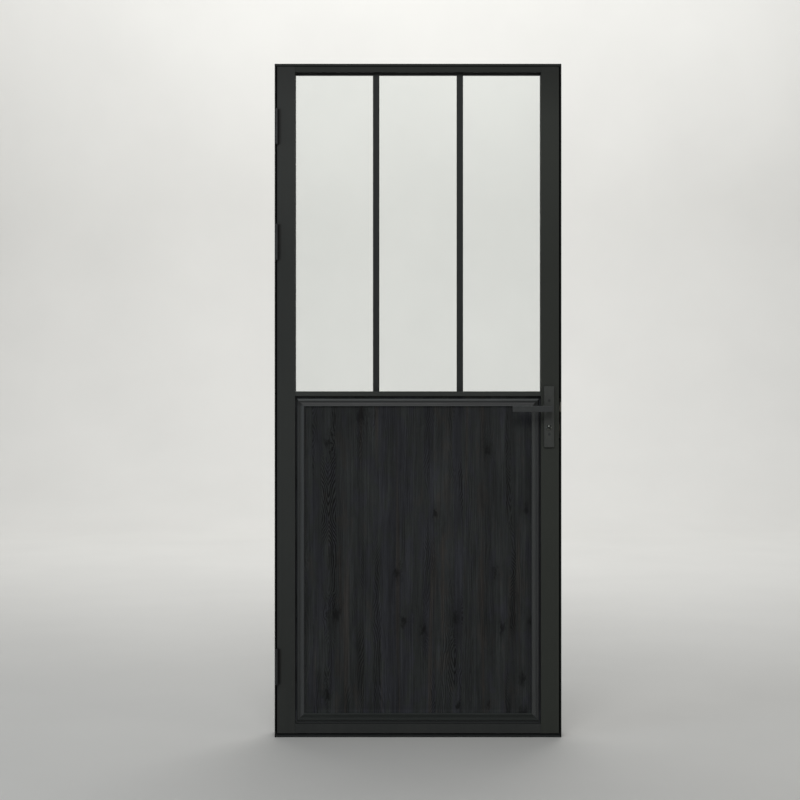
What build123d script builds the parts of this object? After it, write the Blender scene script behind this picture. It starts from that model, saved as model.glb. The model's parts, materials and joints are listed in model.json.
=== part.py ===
from build123d import *
import os

# A half-glazed door leaf hung in a slim frame, in millimetres.
# X runs to the right seen from the front, Y to the back, Z up.
# The origin is on the underside of the threshold, below the middle of the leaf.

# Leaf
LEAF_WIDTH = 838
LEAF_HEIGHT = 1981
LEAF_THICKNESS = 44
STILE_WIDTH = 54
TOP_RAIL_FACE = 17
MID_RAIL_FACE = 14
BOTTOM_RAIL_FACE = 28
MID_RAIL_TOP_ABOVE_LEAF_BOTTOM = 1016
REBATE = 5.5
REBATE_FRONT = -4.5
MID_RAIL_WEB = 3
STILE_EDGE_WALL = 6
STILE_WALL = 2.5
STILE_EDGE_ROUND = 1.0
RAIL_EDGE_ROUND = 0.8
END_CAP_THICKNESS = 2
END_CAP_CLEARANCE = 0.1
RAIL_SCREW_FRONT = -13
RAIL_SCREW_BACK = 10
RAIL_SCREW_RADIUS = 2
RAIL_SCREW_LENGTH = 28
RAIL_SCREW_HEAD_RADIUS = 3.6
RAIL_SCREW_HEAD_HEIGHT = 3
SCREW_CLEARANCE = 0.1

# Frame
SIDE_CLEARANCE = 3
HEAD_CLEARANCE = 2
FLOOR_CLEARANCE = 3
FRAME_WALL = 4
HEAD_WALL = 6.5
FRAME_BACK = 60
STOP_WIDTH = 15
STOP_WALL = 2
STOP_CLEARANCE = 3
CLEAT_ARM = 70
CLEAT_CLEARANCE = 0.2
SEAL_WIDTH = 9
SEAL_INSET = 4
SEAL_HEIGHT = 2.7
SEAL_ROUND = 1.2
THRESHOLD_HEIGHT = 9
THRESHOLD_FRONT = -21
THRESHOLD_NOSE = 3
THRESHOLD_RAMP = 8
WALL_FIXING_RADIUS = 3.25
WALL_FIXING_MIDDLE = 1000
WALL_FIXING_OUTER_SPACING = 1700
WALL_FIXING_INNER_SPACING = 560

# Glazing
GLASS_THICKNESS = 6
GLASS_EDGE_CLEARANCE = 1.5
SETTING_BLOCK_LENGTH = 60
BAR_WIDTH = 19
BAR_DEPTH = 4
BAR_BEVEL = 1.0
BEAD_CHAMFER = 1.0

# Panel
PANEL_FACE_RECESS = 10
SKIN_THICKNESS = 3
PANEL_THICKNESS = 24
PANEL_CLEARANCE = 0.5
PANEL_EDGE_CLEARANCE = 0.7
SIDE_GROOVE = 4.7
END_GROOVE = 8
MOULDING_WIDTH = 22.5
BACK_BEAD_WIDTH = 32.5
BACK_BEAD_THICKNESS = 8

# Section of the panel moulding, as widths from its outer edge and heights above the panel
BEAD_FOOT = 3
BEAD_CROWN = 6.4
BEAD_CROWN_AT = 4
BEAD_INNER = 5.6
BEAD_WIDTH = 8
QUIRK_HEIGHT = 4.8
QUIRK_WIDTH = 1.4
COVE_WIDTH = 6.4
COVE_HEIGHT = 6.3
LIP_HEIGHT = 8.5
LIP_RISE_WIDTH = 4.6
LIP_ROUND = 1.6

# Hinges
BOTTOM_HINGE_ABOVE_LEAF_BOTTOM = 198
MIDDLE_HINGE_BELOW_LEAF_TOP = 521
TOP_HINGE_BELOW_LEAF_TOP = 178
HINGE_LENGTH = 102
HINGE_LEAF_WIDTH = 38
HINGE_LEAF_THICKNESS = 2
HINGE_GAP = 1
KNUCKLE_RADIUS = 5.5
KNUCKLE_FACE_GAP = 0.5
KNUCKLES = 5
WASHER_THICKNESS = 1.2
WASHER_SLACK = 0.2
WASHER_RADIUS = 5.3
PIN_RADIUS = 3.5
PIN_CLEARANCE = 0.05
PIN_TIP_LENGTH = 2.5
PIN_TIP_RADIUS = 4.8
PIN_TIP_ROUND = 1.2
HINGE_SCREW_RADIUS = 2.5
HINGE_SCREW_HEAD = 4.4
HINGE_SCREW_INSET = 9
HINGE_SCREW_OUTER = 37
HINGE_SCREW_INNER = 13

# Lock and handle
BACKSET = 30
LEVER_HEIGHT = 976.5
LEVER_TO_TURN = 57
CASE_THICKNESS = 16
CASE_WALL = 1.5
CASE_HEIGHT = 170
CASE_BEHIND_SPINDLE = 15
CASE_CLEARANCE = 0.3
FOREND_LENGTH = 235
FOREND_WIDTH = 20
FOREND_THICKNESS = 3
FOREND_SCREW_INSET = 8
FOREND_SCREW_RADIUS = 2
FOREND_SCREW_HEAD = 3.8
BOLT_CLEARANCE = 0.3
BOLT_THROW = 8
LATCH_HEIGHT = 18
LATCH_THICKNESS = 12
LATCH_BODY = 9.5
LATCH_NOSE = 2
FORK_REACH = 25
FORK_LAP = 1.5
FORK_SLOT = 15.2
FORK_WIDTH = 24
FORK_THICKNESS = 2
FORK_INSET = 4
FORK_ROOT = 5
DEAD_BOLT_HEIGHT = 24
DEAD_BOLT_THICKNESS = 10
DEAD_BOLT_LENGTH = 19.5
FOLLOWER_RADIUS = 11
FOLLOWER_THICKNESS = 7
FOLLOWER_HUB = 7
CAM_WIDTH = 8
CAM_REACH = 14
TURN_HUB = 5
TURN_DISC = 8
HUB_REACH = 9
HUB_CLEARANCE = 0.3
SPINDLE_SIZE = 8
SPINDLE_LENGTH = 108
SPINDLE_CLEARANCE = 0.05
TURN_SPINDLE_SIZE = 5
TURN_SPINDLE_LENGTH = 56
STILE_SPINDLE_HOLE = 9.5
STILE_TURN_HOLE = 6.5
PLATE_WIDTH = 30
PLATE_HEIGHT = 182
PLATE_THICKNESS = 8
PLATE_ABOVE_LEVER = 67.5
PLATE_CORNER = 2.5
PLATE_EDGE = 0.9
PLATE_SCREW_ABOVE_LEVER = 24
PLATE_SCREW_BELOW_TURN = 19
PLATE_SCREW_RADIUS = 2.4
PLATE_SCREW_HEAD = 4.2
NECK_RADIUS = 8
NECK_INNER_GAP = 1
NECK_CLEARANCE = 0.3
SOCKET_REACH = 0.5
LEVER_PROJECTION = 49
LEVER_LENGTH = 111
LEVER_THICKNESS = 9
LEVER_WIDTH = 17.5
LEVER_HEEL = 8.8
LEVER_EDGE = 1.2
TURN_RADIUS = 8.5
TURN_PROJECTION = 3.5
COIN_SLOT_WIDTH = 2
COIN_SLOT_LENGTH = 12
COIN_SLOT_DEPTH = 2
COIN_SLOT_ANGLE = 45
TURN_EDGE = 1
WING_LENGTH = 26
WING_WIDTH = 6
WING_REACH = 14
WING_ROUND = 1.5

# Strike
STRIKE_HEIGHT = 118
STRIKE_INSET = 3
STRIKE_BACK = 12
STRIKE_THICKNESS = 1.5
STRIKE_CLEARANCE = 1
STRIKE_LIP_ROUND = 1
STRIKE_LIP_BELOW_LEVER = 9.5
STRIKE_LIP_ABOVE_LEVER = 19.5
STRIKE_SCREW_INSET = 8
STRIKE_SCREW_RADIUS = 2
STRIKE_SCREW_HEAD = 3.4

# Places worked out from the sizes above
LEAF_BOTTOM = THRESHOLD_HEIGHT + FLOOR_CLEARANCE
LEAF_TOP = LEAF_BOTTOM + LEAF_HEIGHT
LEAF_EDGE = LEAF_WIDTH / 2
LEAF_FRONT = -LEAF_THICKNESS / 2
LEAF_BACK = LEAF_THICKNESS / 2
JAMB_FACE = LEAF_EDGE + SIDE_CLEARANCE
FRAME_EDGE = JAMB_FACE + FRAME_WALL
HEAD_FACE = LEAF_TOP + HEAD_CLEARANCE
FRAME_TOP = HEAD_FACE + HEAD_WALL
MITRE_TOP = HEAD_FACE + FRAME_WALL
STOP_FRONT = LEAF_BACK + STOP_CLEARANCE

OPENING_SIDE = LEAF_EDGE - STILE_WIDTH
REBATE_SIDE = OPENING_SIDE + REBATE
GLASS_OPENING_TOP = LEAF_TOP - TOP_RAIL_FACE
GLASS_OPENING_BOTTOM = LEAF_BOTTOM + MID_RAIL_TOP_ABOVE_LEAF_BOTTOM
PANEL_OPENING_TOP = GLASS_OPENING_BOTTOM - MID_RAIL_FACE
PANEL_OPENING_BOTTOM = LEAF_BOTTOM + BOTTOM_RAIL_FACE
MID_RAIL_MIDDLE = GLASS_OPENING_BOTTOM - MID_RAIL_FACE / 2
WEB_TOP = MID_RAIL_MIDDLE + MID_RAIL_WEB / 2
WEB_BOTTOM = MID_RAIL_MIDDLE - MID_RAIL_WEB / 2
GLASS_REBATE_TOP = GLASS_OPENING_TOP + REBATE
PANEL_REBATE_BOTTOM = PANEL_OPENING_BOTTOM - REBATE
CAVITY_SIDE = REBATE_SIDE + STILE_WALL
CAVITY_WIDTH = LEAF_EDGE - STILE_EDGE_WALL - CAVITY_SIDE
CAVITY_DEPTH = LEAF_THICKNESS - 2 * STILE_WALL

PANEL_FRONT = LEAF_FRONT + PANEL_FACE_RECESS
PANEL_BACK = PANEL_FRONT + PANEL_THICKNESS
BAY = (2 * OPENING_SIDE - 2 * BAR_WIDTH) / 3
BAR_CENTRE = (BAY + BAR_WIDTH) / 2

HINGE_CENTRES = (
    LEAF_BOTTOM + BOTTOM_HINGE_ABOVE_LEAF_BOTTOM,
    LEAF_TOP - MIDDLE_HINGE_BELOW_LEAF_TOP,
    LEAF_TOP - TOP_HINGE_BELOW_LEAF_TOP,
)
HINGE_X = -LEAF_EDGE - HINGE_GAP / 2
HINGE_Y = LEAF_FRONT - KNUCKLE_FACE_GAP - KNUCKLE_RADIUS
HINGE_LEAF_BACK = HINGE_Y + HINGE_LEAF_WIDTH
KNUCKLE_GAP = WASHER_THICKNESS + WASHER_SLACK
KNUCKLE_PITCH = (HINGE_LENGTH + KNUCKLE_GAP) / KNUCKLES
KNUCKLE_HEIGHT = KNUCKLE_PITCH - KNUCKLE_GAP

SPINDLE_X = LEAF_EDGE - BACKSET
TURN_HEIGHT = LEVER_HEIGHT - LEVER_TO_TURN
LOCK_MIDDLE = LEVER_HEIGHT - LEVER_TO_TURN / 2
FOREND_FACE = LEAF_EDGE - FOREND_THICKNESS
CASE_BACK = SPINDLE_X - CASE_BEHIND_SPINDLE
PLATE_TOP = LEVER_HEIGHT + PLATE_ABOVE_LEVER
PLATE_SCREW_HEIGHTS = (LEVER_HEIGHT + PLATE_SCREW_ABOVE_LEVER, TURN_HEIGHT - PLATE_SCREW_BELOW_TURN)
FOREND_SCREW_REACH = FOREND_LENGTH / 2 - FOREND_SCREW_INSET
FOREND_SCREW_HEIGHTS = (LOCK_MIDDLE - FOREND_SCREW_REACH, LOCK_MIDDLE + FOREND_SCREW_REACH)
STRIKE_FRONT = LEAF_FRONT + STRIKE_INSET
STRIKE_BOTTOM = LOCK_MIDDLE - STRIKE_HEIGHT / 2
STRIKE_TOP = LOCK_MIDDLE + STRIKE_HEIGHT / 2
STRIKE_LIP = (LEVER_HEIGHT - STRIKE_LIP_BELOW_LEVER, LEVER_HEIGHT + STRIKE_LIP_ABOVE_LEVER)
STRIKE_SCREW_HEIGHTS = (STRIKE_BOTTOM + STRIKE_SCREW_INSET, STRIKE_TOP - STRIKE_SCREW_INSET)
STRIKE_SCREW_Y = (STRIKE_FRONT + STRIKE_BACK) / 2

os.makedirs("parts", exist_ok=True)


def save(piece, name):
    """Name a finished piece and write it to its own file."""
    piece.part.label = name
    export_step(piece.part, f"parts/{name}.step")


def block(x, y, z, mode=Mode.ADD):
    """A rectangular block between the two values given for each axis, in either order."""
    corner = (min(x), min(y), min(z))
    size = (abs(x[1] - x[0]), abs(y[1] - y[0]), abs(z[1] - z[0]))
    with Locations(corner):
        Box(*size, align=(Align.MIN, Align.MIN, Align.MIN), mode=mode)


def round_x(x, y, z, radius, mode=Mode.SUBTRACT):
    """A round hole or rod along X between the two values of x."""
    with BuildSketch(Plane(origin=(min(x), y, z), x_dir=(0, 1, 0), z_dir=(1, 0, 0))) as section:
        Circle(radius)
    extrude(section.sketch, amount=abs(x[1] - x[0]), mode=mode)


def round_y(x, y, z, radius, mode=Mode.SUBTRACT):
    """A round hole or rod along Y between the two values of y."""
    with BuildSketch(Plane(origin=(x, min(y), z), x_dir=(1, 0, 0), z_dir=(0, 1, 0))) as section:
        Circle(radius)
    extrude(section.sketch, amount=abs(y[1] - y[0]), mode=mode)


def countersunk(plane, radius, head_radius, length, mode=Mode.ADD):
    """A screw, or the hole for one, with its flat head on the plane and its shank along the normal."""
    head = head_radius - radius
    side_plane = Plane(origin=plane.origin, x_dir=plane.x_dir, z_dir=plane.x_dir.cross(plane.z_dir))
    with BuildSketch(side_plane) as section:
        with BuildLine():
            Polyline((0, 0), (0, length), (radius, length), (radius, head), (head_radius, 0), close=True)
        make_face()
    revolve(section.sketch, axis=Axis(plane.origin, plane.z_dir), mode=mode)


def facing_x(x, y, z, direction):
    """The plane at a point on a face, with its normal along X into the material."""
    return Plane(origin=(x, y, z), x_dir=(0, 1, 0), z_dir=(direction, 0, 0))


def outwards(side, near, far):
    """The two values of Y that lie near and far from the leaf's face on the given side."""
    return side * (LEAF_BACK + near), side * (LEAF_BACK + far)


def hinge_screw_places(middle):
    """Y and Z of the four screws in each hinge leaf."""
    front = LEAF_FRONT + HINGE_SCREW_INSET
    back = HINGE_LEAF_BACK - HINGE_SCREW_INSET
    outer = [(front, middle + side * HINGE_SCREW_OUTER) for side in (-1, 1)]
    inner = [(back, middle + side * HINGE_SCREW_INNER) for side in (-1, 1)]
    return outer + inner


def bolt_holes(x, clearance):
    """The openings that the latch and the dead bolt pass through."""
    for middle, height, thickness in (
        (LEVER_HEIGHT, LATCH_HEIGHT, LATCH_THICKNESS),
        (TURN_HEIGHT, DEAD_BOLT_HEIGHT, DEAD_BOLT_THICKNESS),
    ):
        y = thickness / 2 + clearance
        z = height / 2 + clearance
        block(x, (-y, y), (middle - z, middle + z), Mode.SUBTRACT)


# Frame

MITRE_HINGE_SIDE = Plane(origin=(-FRAME_EDGE, 0, MITRE_TOP), x_dir=(0, 1, 0), z_dir=(1, 0, 1))
MITRE_LOCK_SIDE = Plane(origin=(FRAME_EDGE, 0, MITRE_TOP), x_dir=(0, 1, 0), z_dir=(-1, 0, 1))


def frame_section(plane, wall):
    """The nose plate with the hollow stop on it: x outwards from the plate's inner face, y to the back."""
    with BuildSketch(plane) as section:
        with Locations((0, LEAF_FRONT)):
            Rectangle(wall, FRAME_BACK - LEAF_FRONT, align=(Align.MIN, Align.MIN))
        with Locations((0, STOP_FRONT)):
            Rectangle(STOP_WIDTH, FRAME_BACK - STOP_FRONT, align=(Align.MAX, Align.MIN))
        with Locations((0, STOP_FRONT + STOP_WALL)):
            cavity = (STOP_WIDTH - STOP_WALL, FRAME_BACK - STOP_FRONT - 2 * STOP_WALL)
            Rectangle(*cavity, align=(Align.MAX, Align.MIN), mode=Mode.SUBTRACT)
    return section.sketch


def wall_fixing_holes(x):
    """Four holes through the stop and the plate, as an outer and an inner pair."""
    middle = (STOP_FRONT + FRAME_BACK) / 2
    for spacing in (WALL_FIXING_OUTER_SPACING, WALL_FIXING_INNER_SPACING):
        for side in (-1, 1):
            round_x(x, middle, WALL_FIXING_MIDDLE + side * spacing / 2, WALL_FIXING_RADIUS)


with BuildPart() as hinge_jamb:
    section_plane = Plane(origin=(-JAMB_FACE, 0, FRAME_TOP), x_dir=(-1, 0, 0), z_dir=(0, 0, -1))
    extrude(frame_section(section_plane, FRAME_WALL), amount=FRAME_TOP)
    split(bisect_by=MITRE_HINGE_SIDE, keep=Keep.BOTTOM)
    wall_fixing_holes((-FRAME_EDGE, -JAMB_FACE + STOP_WIDTH))
    for hinge in HINGE_CENTRES:
        for y, z in hinge_screw_places(hinge):
            round_x((-FRAME_EDGE, -JAMB_FACE), y, z, HINGE_SCREW_RADIUS + SCREW_CLEARANCE)
save(hinge_jamb, "frame_hinge_jamb")

with BuildPart() as lock_jamb:
    section_plane = Plane(origin=(JAMB_FACE, 0, 0), x_dir=(1, 0, 0), z_dir=(0, 0, 1))
    extrude(frame_section(section_plane, FRAME_WALL), amount=FRAME_TOP)
    split(bisect_by=MITRE_LOCK_SIDE, keep=Keep.BOTTOM)
    wall_fixing_holes((JAMB_FACE - STOP_WIDTH, FRAME_EDGE))
    strike_bed = (JAMB_FACE, JAMB_FACE + STRIKE_THICKNESS)
    block(strike_bed, (STRIKE_FRONT, STRIKE_BACK), (STRIKE_BOTTOM, STRIKE_TOP), Mode.SUBTRACT)
    block(strike_bed, (LEAF_FRONT, STRIKE_FRONT), STRIKE_LIP, Mode.SUBTRACT)
    bolt_holes((JAMB_FACE, FRAME_EDGE), STRIKE_CLEARANCE)
    for z in STRIKE_SCREW_HEIGHTS:
        round_x((JAMB_FACE, FRAME_EDGE), STRIKE_SCREW_Y, z, STRIKE_SCREW_RADIUS + SCREW_CLEARANCE)
save(lock_jamb, "frame_lock_jamb")

with BuildPart() as frame_head:
    section_plane = Plane(origin=(FRAME_EDGE, 0, HEAD_FACE), x_dir=(0, 0, 1), z_dir=(-1, 0, 0))
    extrude(frame_section(section_plane, HEAD_WALL), amount=2 * FRAME_EDGE)
    split(bisect_by=MITRE_HINGE_SIDE, keep=Keep.TOP)
    split(bisect_by=MITRE_LOCK_SIDE, keep=Keep.TOP)
save(frame_head, "frame_head")

with BuildPart() as frame_cleats:
    cleat_side = JAMB_FACE - CLEAT_CLEARANCE
    cleat_top = HEAD_FACE - CLEAT_CLEARANCE
    cleat_width = STOP_WIDTH - STOP_WALL - 2 * CLEAT_CLEARANCE
    cleat_depth = (STOP_FRONT + STOP_WALL + CLEAT_CLEARANCE, FRAME_BACK - STOP_WALL - CLEAT_CLEARANCE)
    for side in (-1, 1):
        along = (side * cleat_side, side * (cleat_side - CLEAT_ARM))
        across = (side * cleat_side, side * (cleat_side - cleat_width))
        block(along, cleat_depth, (cleat_top - cleat_width, cleat_top))
        block(across, cleat_depth, (cleat_top - CLEAT_ARM, cleat_top))
save(frame_cleats, "frame_corner_cleats")


def seal_section(plane):
    """A strip with rounded front edges: x across from its middle, y from its foot to its crown."""
    with BuildSketch(plane) as section:
        Rectangle(SEAL_WIDTH, SEAL_HEIGHT, align=(Align.CENTER, Align.MIN))
        fillet(section.vertices().group_by(Axis.Y)[-1], SEAL_ROUND)
    return section.sketch


SEAL_X = JAMB_FACE - SEAL_INSET - SEAL_WIDTH / 2
SEAL_Z = HEAD_FACE - SEAL_INSET - SEAL_WIDTH / 2
for side, name in ((-1, "seal_hinge_side"), (1, "seal_lock_side")):
    with BuildPart() as seal:
        seal_foot = (side * SEAL_X, STOP_FRONT, THRESHOLD_HEIGHT)
        foot = Plane(origin=seal_foot, x_dir=(-1, 0, 0), z_dir=(0, 0, 1))
        extrude(seal_section(foot), amount=SEAL_Z - SEAL_WIDTH / 2 - THRESHOLD_HEIGHT)
    save(seal, name)

with BuildPart() as seal_head:
    seal_reach = SEAL_X + SEAL_WIDTH / 2
    foot = Plane(origin=(-seal_reach, STOP_FRONT, SEAL_Z), x_dir=(0, 0, 1), z_dir=(1, 0, 0))
    extrude(seal_section(foot), amount=2 * seal_reach)
save(seal_head, "seal_head")

with BuildPart() as threshold:
    with BuildSketch(Plane(origin=(-JAMB_FACE, 0, 0), x_dir=(0, 1, 0), z_dir=(1, 0, 0))):
        with BuildLine():
            Polyline(
                (THRESHOLD_FRONT, 0),
                (THRESHOLD_FRONT, THRESHOLD_NOSE),
                (THRESHOLD_FRONT + THRESHOLD_RAMP, THRESHOLD_HEIGHT),
                (FRAME_BACK - THRESHOLD_RAMP, THRESHOLD_HEIGHT),
                (FRAME_BACK, THRESHOLD_NOSE),
                (FRAME_BACK, 0),
                close=True,
            )
        make_face()
    extrude(amount=2 * JAMB_FACE)
    for side in (-1, 1):
        notch = (side * JAMB_FACE, side * (JAMB_FACE - STOP_WIDTH))
        block(notch, (STOP_FRONT, FRAME_BACK), (0, THRESHOLD_HEIGHT), Mode.SUBTRACT)
save(threshold, "threshold")

with BuildPart() as strike:
    plate_x = (JAMB_FACE, JAMB_FACE + STRIKE_THICKNESS)
    lip_y = (LEAF_FRONT - STRIKE_THICKNESS, LEAF_FRONT)
    block((JAMB_FACE, FRAME_EDGE), lip_y, STRIKE_LIP)
    fillet(strike.edges().filter_by(Axis.Z).group_by(Axis.Y)[0], STRIKE_LIP_ROUND)
    block(plate_x, (LEAF_FRONT, STRIKE_FRONT), STRIKE_LIP)
    block(plate_x, (STRIKE_FRONT, STRIKE_BACK), (STRIKE_BOTTOM, STRIKE_TOP))
    bolt_holes(plate_x, STRIKE_CLEARANCE)
    for z in STRIKE_SCREW_HEIGHTS:
        seat = facing_x(JAMB_FACE, STRIKE_SCREW_Y, z, 1)
        clear_shank = STRIKE_SCREW_RADIUS + SCREW_CLEARANCE
        clear_head = STRIKE_SCREW_HEAD + SCREW_CLEARANCE
        countersunk(seat, clear_shank, clear_head, STRIKE_THICKNESS, Mode.SUBTRACT)
save(strike, "strike_plate")

with BuildPart() as strike_screws:
    for z in STRIKE_SCREW_HEIGHTS:
        seat = facing_x(JAMB_FACE, STRIKE_SCREW_Y, z, 1)
        countersunk(seat, STRIKE_SCREW_RADIUS, STRIKE_SCREW_HEAD, FRAME_WALL)
save(strike_screws, "strike_screws")


# Hinges


def knuckle_bottom(middle, index):
    """The height of a knuckle's lower end, counted from the lowest knuckle of the hinge at this middle."""
    return middle - HINGE_LENGTH / 2 + index * KNUCKLE_PITCH


def barrel(z, height, radius, mode=Mode.ADD):
    """A round length on the hinge's axis."""
    with BuildSketch(Plane(origin=(HINGE_X, HINGE_Y, z))) as section:
        Circle(radius)
    extrude(section.sketch, amount=height, mode=mode)


def hinge_leaves(side, knuckles):
    """The three leaves of one side: -1 on the jamb, 1 on the leaf's edge."""
    plate_x = (HINGE_X + side * HINGE_GAP / 2, HINGE_X + side * (HINGE_GAP / 2 + HINGE_LEAF_THICKNESS))
    for middle in HINGE_CENTRES:
        low = middle - HINGE_LENGTH / 2
        block(plate_x, (LEAF_FRONT, HINGE_LEAF_BACK), (low, low + HINGE_LENGTH))
        for index in knuckles:
            bottom = knuckle_bottom(middle, index)
            block(plate_x, (HINGE_Y, LEAF_FRONT), (bottom, bottom + KNUCKLE_HEIGHT))
            barrel(bottom, KNUCKLE_HEIGHT, KNUCKLE_RADIUS)
        barrel(low, HINGE_LENGTH, PIN_RADIUS + PIN_CLEARANCE, Mode.SUBTRACT)
        for y, z in hinge_screw_places(middle):
            seat = facing_x(plate_x[0], y, z, side)
            clear_shank = HINGE_SCREW_RADIUS + SCREW_CLEARANCE
            clear_head = HINGE_SCREW_HEAD + SCREW_CLEARANCE
            countersunk(seat, clear_shank, clear_head, HINGE_LEAF_THICKNESS, Mode.SUBTRACT)


def hinge_screws(side, wall):
    """The screws of one side's leaves, through the leaf and the wall behind it."""
    for middle in HINGE_CENTRES:
        for y, z in hinge_screw_places(middle):
            seat = facing_x(HINGE_X + side * HINGE_GAP / 2, y, z, side)
            countersunk(seat, HINGE_SCREW_RADIUS, HINGE_SCREW_HEAD, HINGE_LEAF_THICKNESS + wall)


with BuildPart() as frame_leaves:
    hinge_leaves(-1, range(0, KNUCKLES, 2))
save(frame_leaves, "hinge_frame_leaves")

with BuildPart() as door_leaves:
    hinge_leaves(1, range(1, KNUCKLES, 2))
save(door_leaves, "hinge_door_leaves")

with BuildPart() as frame_screws:
    hinge_screws(-1, FRAME_WALL)
save(frame_screws, "hinge_frame_screws")

with BuildPart() as door_screws:
    hinge_screws(1, STILE_EDGE_WALL - HINGE_LEAF_THICKNESS)
save(door_screws, "hinge_door_screws")

with BuildPart() as hinge_pins:
    for middle in HINGE_CENTRES:
        low = middle - HINGE_LENGTH / 2
        barrel(low - PIN_TIP_LENGTH, PIN_TIP_LENGTH, PIN_TIP_RADIUS)
        barrel(low, HINGE_LENGTH, PIN_RADIUS)
        barrel(low + HINGE_LENGTH, PIN_TIP_LENGTH, PIN_TIP_RADIUS)
    for middle in HINGE_CENTRES:
        reach = HINGE_LENGTH / 2 + PIN_TIP_LENGTH
        for end in (middle - reach, middle + reach):
            near = (end - PIN_TIP_LENGTH / 2, end + PIN_TIP_LENGTH / 2)
            circles = hinge_pins.edges().filter_by(GeomType.CIRCLE)
            fillet(circles.filter_by_position(Axis.Z, *near), PIN_TIP_ROUND)
save(hinge_pins, "hinge_pins")

with BuildPart() as washers:
    for middle in HINGE_CENTRES:
        for index in range(KNUCKLES - 1):
            gap = knuckle_bottom(middle, index) + KNUCKLE_HEIGHT
            on_lower_knuckle = index % 2 == 0
            bottom = gap if on_lower_knuckle else gap + WASHER_SLACK
            barrel(bottom, WASHER_THICKNESS, WASHER_RADIUS)
            barrel(bottom, WASHER_THICKNESS, PIN_RADIUS + PIN_CLEARANCE, Mode.SUBTRACT)
save(washers, "hinge_washers")


# Leaf frame

TOP_FACE_MIDDLE = LEAF_TOP - TOP_RAIL_FACE / 2
TOP_WEB_MIDDLE = (GLASS_REBATE_TOP + LEAF_TOP) / 2
BOTTOM_FACE_MIDDLE = LEAF_BOTTOM + BOTTOM_RAIL_FACE / 2
BOTTOM_WEB_MIDDLE = (PANEL_REBATE_BOTTOM + LEAF_BOTTOM) / 2
TOP_RAIL_SCREWS = ((RAIL_SCREW_FRONT, TOP_FACE_MIDDLE), (RAIL_SCREW_BACK, TOP_WEB_MIDDLE))
MID_RAIL_SCREWS = ((RAIL_SCREW_FRONT, MID_RAIL_MIDDLE),)
BOTTOM_RAIL_SCREWS = ((RAIL_SCREW_FRONT, BOTTOM_FACE_MIDDLE), (RAIL_SCREW_BACK, BOTTOM_WEB_MIDDLE))
RAIL_SCREW_PLACES = TOP_RAIL_SCREWS + MID_RAIL_SCREWS + BOTTOM_RAIL_SCREWS


def stile(side):
    """A hollow stile with the rebate for the glass and the panel along its inner back edge."""
    with BuildSketch(Plane.XY.offset(LEAF_BOTTOM)) as section:
        with Locations((side * (LEAF_EDGE + OPENING_SIDE) / 2, (LEAF_FRONT + REBATE_FRONT) / 2)):
            Rectangle(LEAF_EDGE - OPENING_SIDE, REBATE_FRONT - LEAF_FRONT)
        with Locations((side * (LEAF_EDGE + REBATE_SIDE) / 2, (REBATE_FRONT + LEAF_BACK) / 2)):
            Rectangle(LEAF_EDGE - REBATE_SIDE, LEAF_BACK - REBATE_FRONT)
        rows = section.vertices().group_by(Axis.Y)
        fillet(rows[0] + rows[-1], STILE_EDGE_ROUND)
        with Locations((side * (CAVITY_SIDE + CAVITY_WIDTH / 2), 0)):
            Rectangle(CAVITY_WIDTH, CAVITY_DEPTH, mode=Mode.SUBTRACT)
    extrude(section.sketch, amount=LEAF_HEIGHT)
    for y, z in RAIL_SCREW_PLACES:
        face = OPENING_SIDE if y < REBATE_FRONT else REBATE_SIDE
        round_x((side * face, side * CAVITY_SIDE), y, z, RAIL_SCREW_RADIUS + SCREW_CLEARANCE)


with BuildPart() as hinge_stile:
    stile(-1)
    wall = (-LEAF_EDGE, -LEAF_EDGE + STILE_EDGE_WALL)
    for middle in HINGE_CENTRES:
        bed = (middle - HINGE_LENGTH / 2, middle + HINGE_LENGTH / 2)
        mortise = (-LEAF_EDGE, -LEAF_EDGE + HINGE_LEAF_THICKNESS)
        block(mortise, (LEAF_FRONT, HINGE_LEAF_BACK), bed, Mode.SUBTRACT)
        for y, z in hinge_screw_places(middle):
            round_x(wall, y, z, HINGE_SCREW_RADIUS + SCREW_CLEARANCE)
save(hinge_stile, "hinge_stile")

with BuildPart() as lock_stile:
    stile(1)
    wall = (LEAF_EDGE - STILE_EDGE_WALL, LEAF_EDGE)
    forend_y = (-FOREND_WIDTH / 2, FOREND_WIDTH / 2)
    forend_z = (LOCK_MIDDLE - FOREND_LENGTH / 2, LOCK_MIDDLE + FOREND_LENGTH / 2)
    block((FOREND_FACE, LEAF_EDGE), forend_y, forend_z, Mode.SUBTRACT)
    case_y = CASE_THICKNESS / 2 + CASE_CLEARANCE
    case_z = CASE_HEIGHT / 2 + CASE_CLEARANCE
    block(wall, (-case_y, case_y), (LOCK_MIDDLE - case_z, LOCK_MIDDLE + case_z), Mode.SUBTRACT)
    for z in FOREND_SCREW_HEIGHTS:
        round_x(wall, 0, z, FOREND_SCREW_RADIUS + SCREW_CLEARANCE)
    through = (LEAF_FRONT, LEAF_BACK)
    round_y(SPINDLE_X, through, LEVER_HEIGHT, STILE_SPINDLE_HOLE)
    round_y(SPINDLE_X, through, TURN_HEIGHT, STILE_TURN_HOLE)
    for z in PLATE_SCREW_HEIGHTS:
        round_y(SPINDLE_X, through, z, PLATE_SCREW_RADIUS + SCREW_CLEARANCE)
save(lock_stile, "lock_stile")

with BuildPart() as end_caps:
    cap_x = (CAVITY_SIDE + END_CAP_CLEARANCE, CAVITY_SIDE + CAVITY_WIDTH - END_CAP_CLEARANCE)
    cap_y = CAVITY_DEPTH / 2 - END_CAP_CLEARANCE
    for side in (-1, 1):
        for z in (LEAF_BOTTOM, LEAF_TOP - END_CAP_THICKNESS):
            block((side * cap_x[0], side * cap_x[1]), (-cap_y, cap_y), (z, z + END_CAP_THICKNESS))
save(end_caps, "stile_end_caps")


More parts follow.
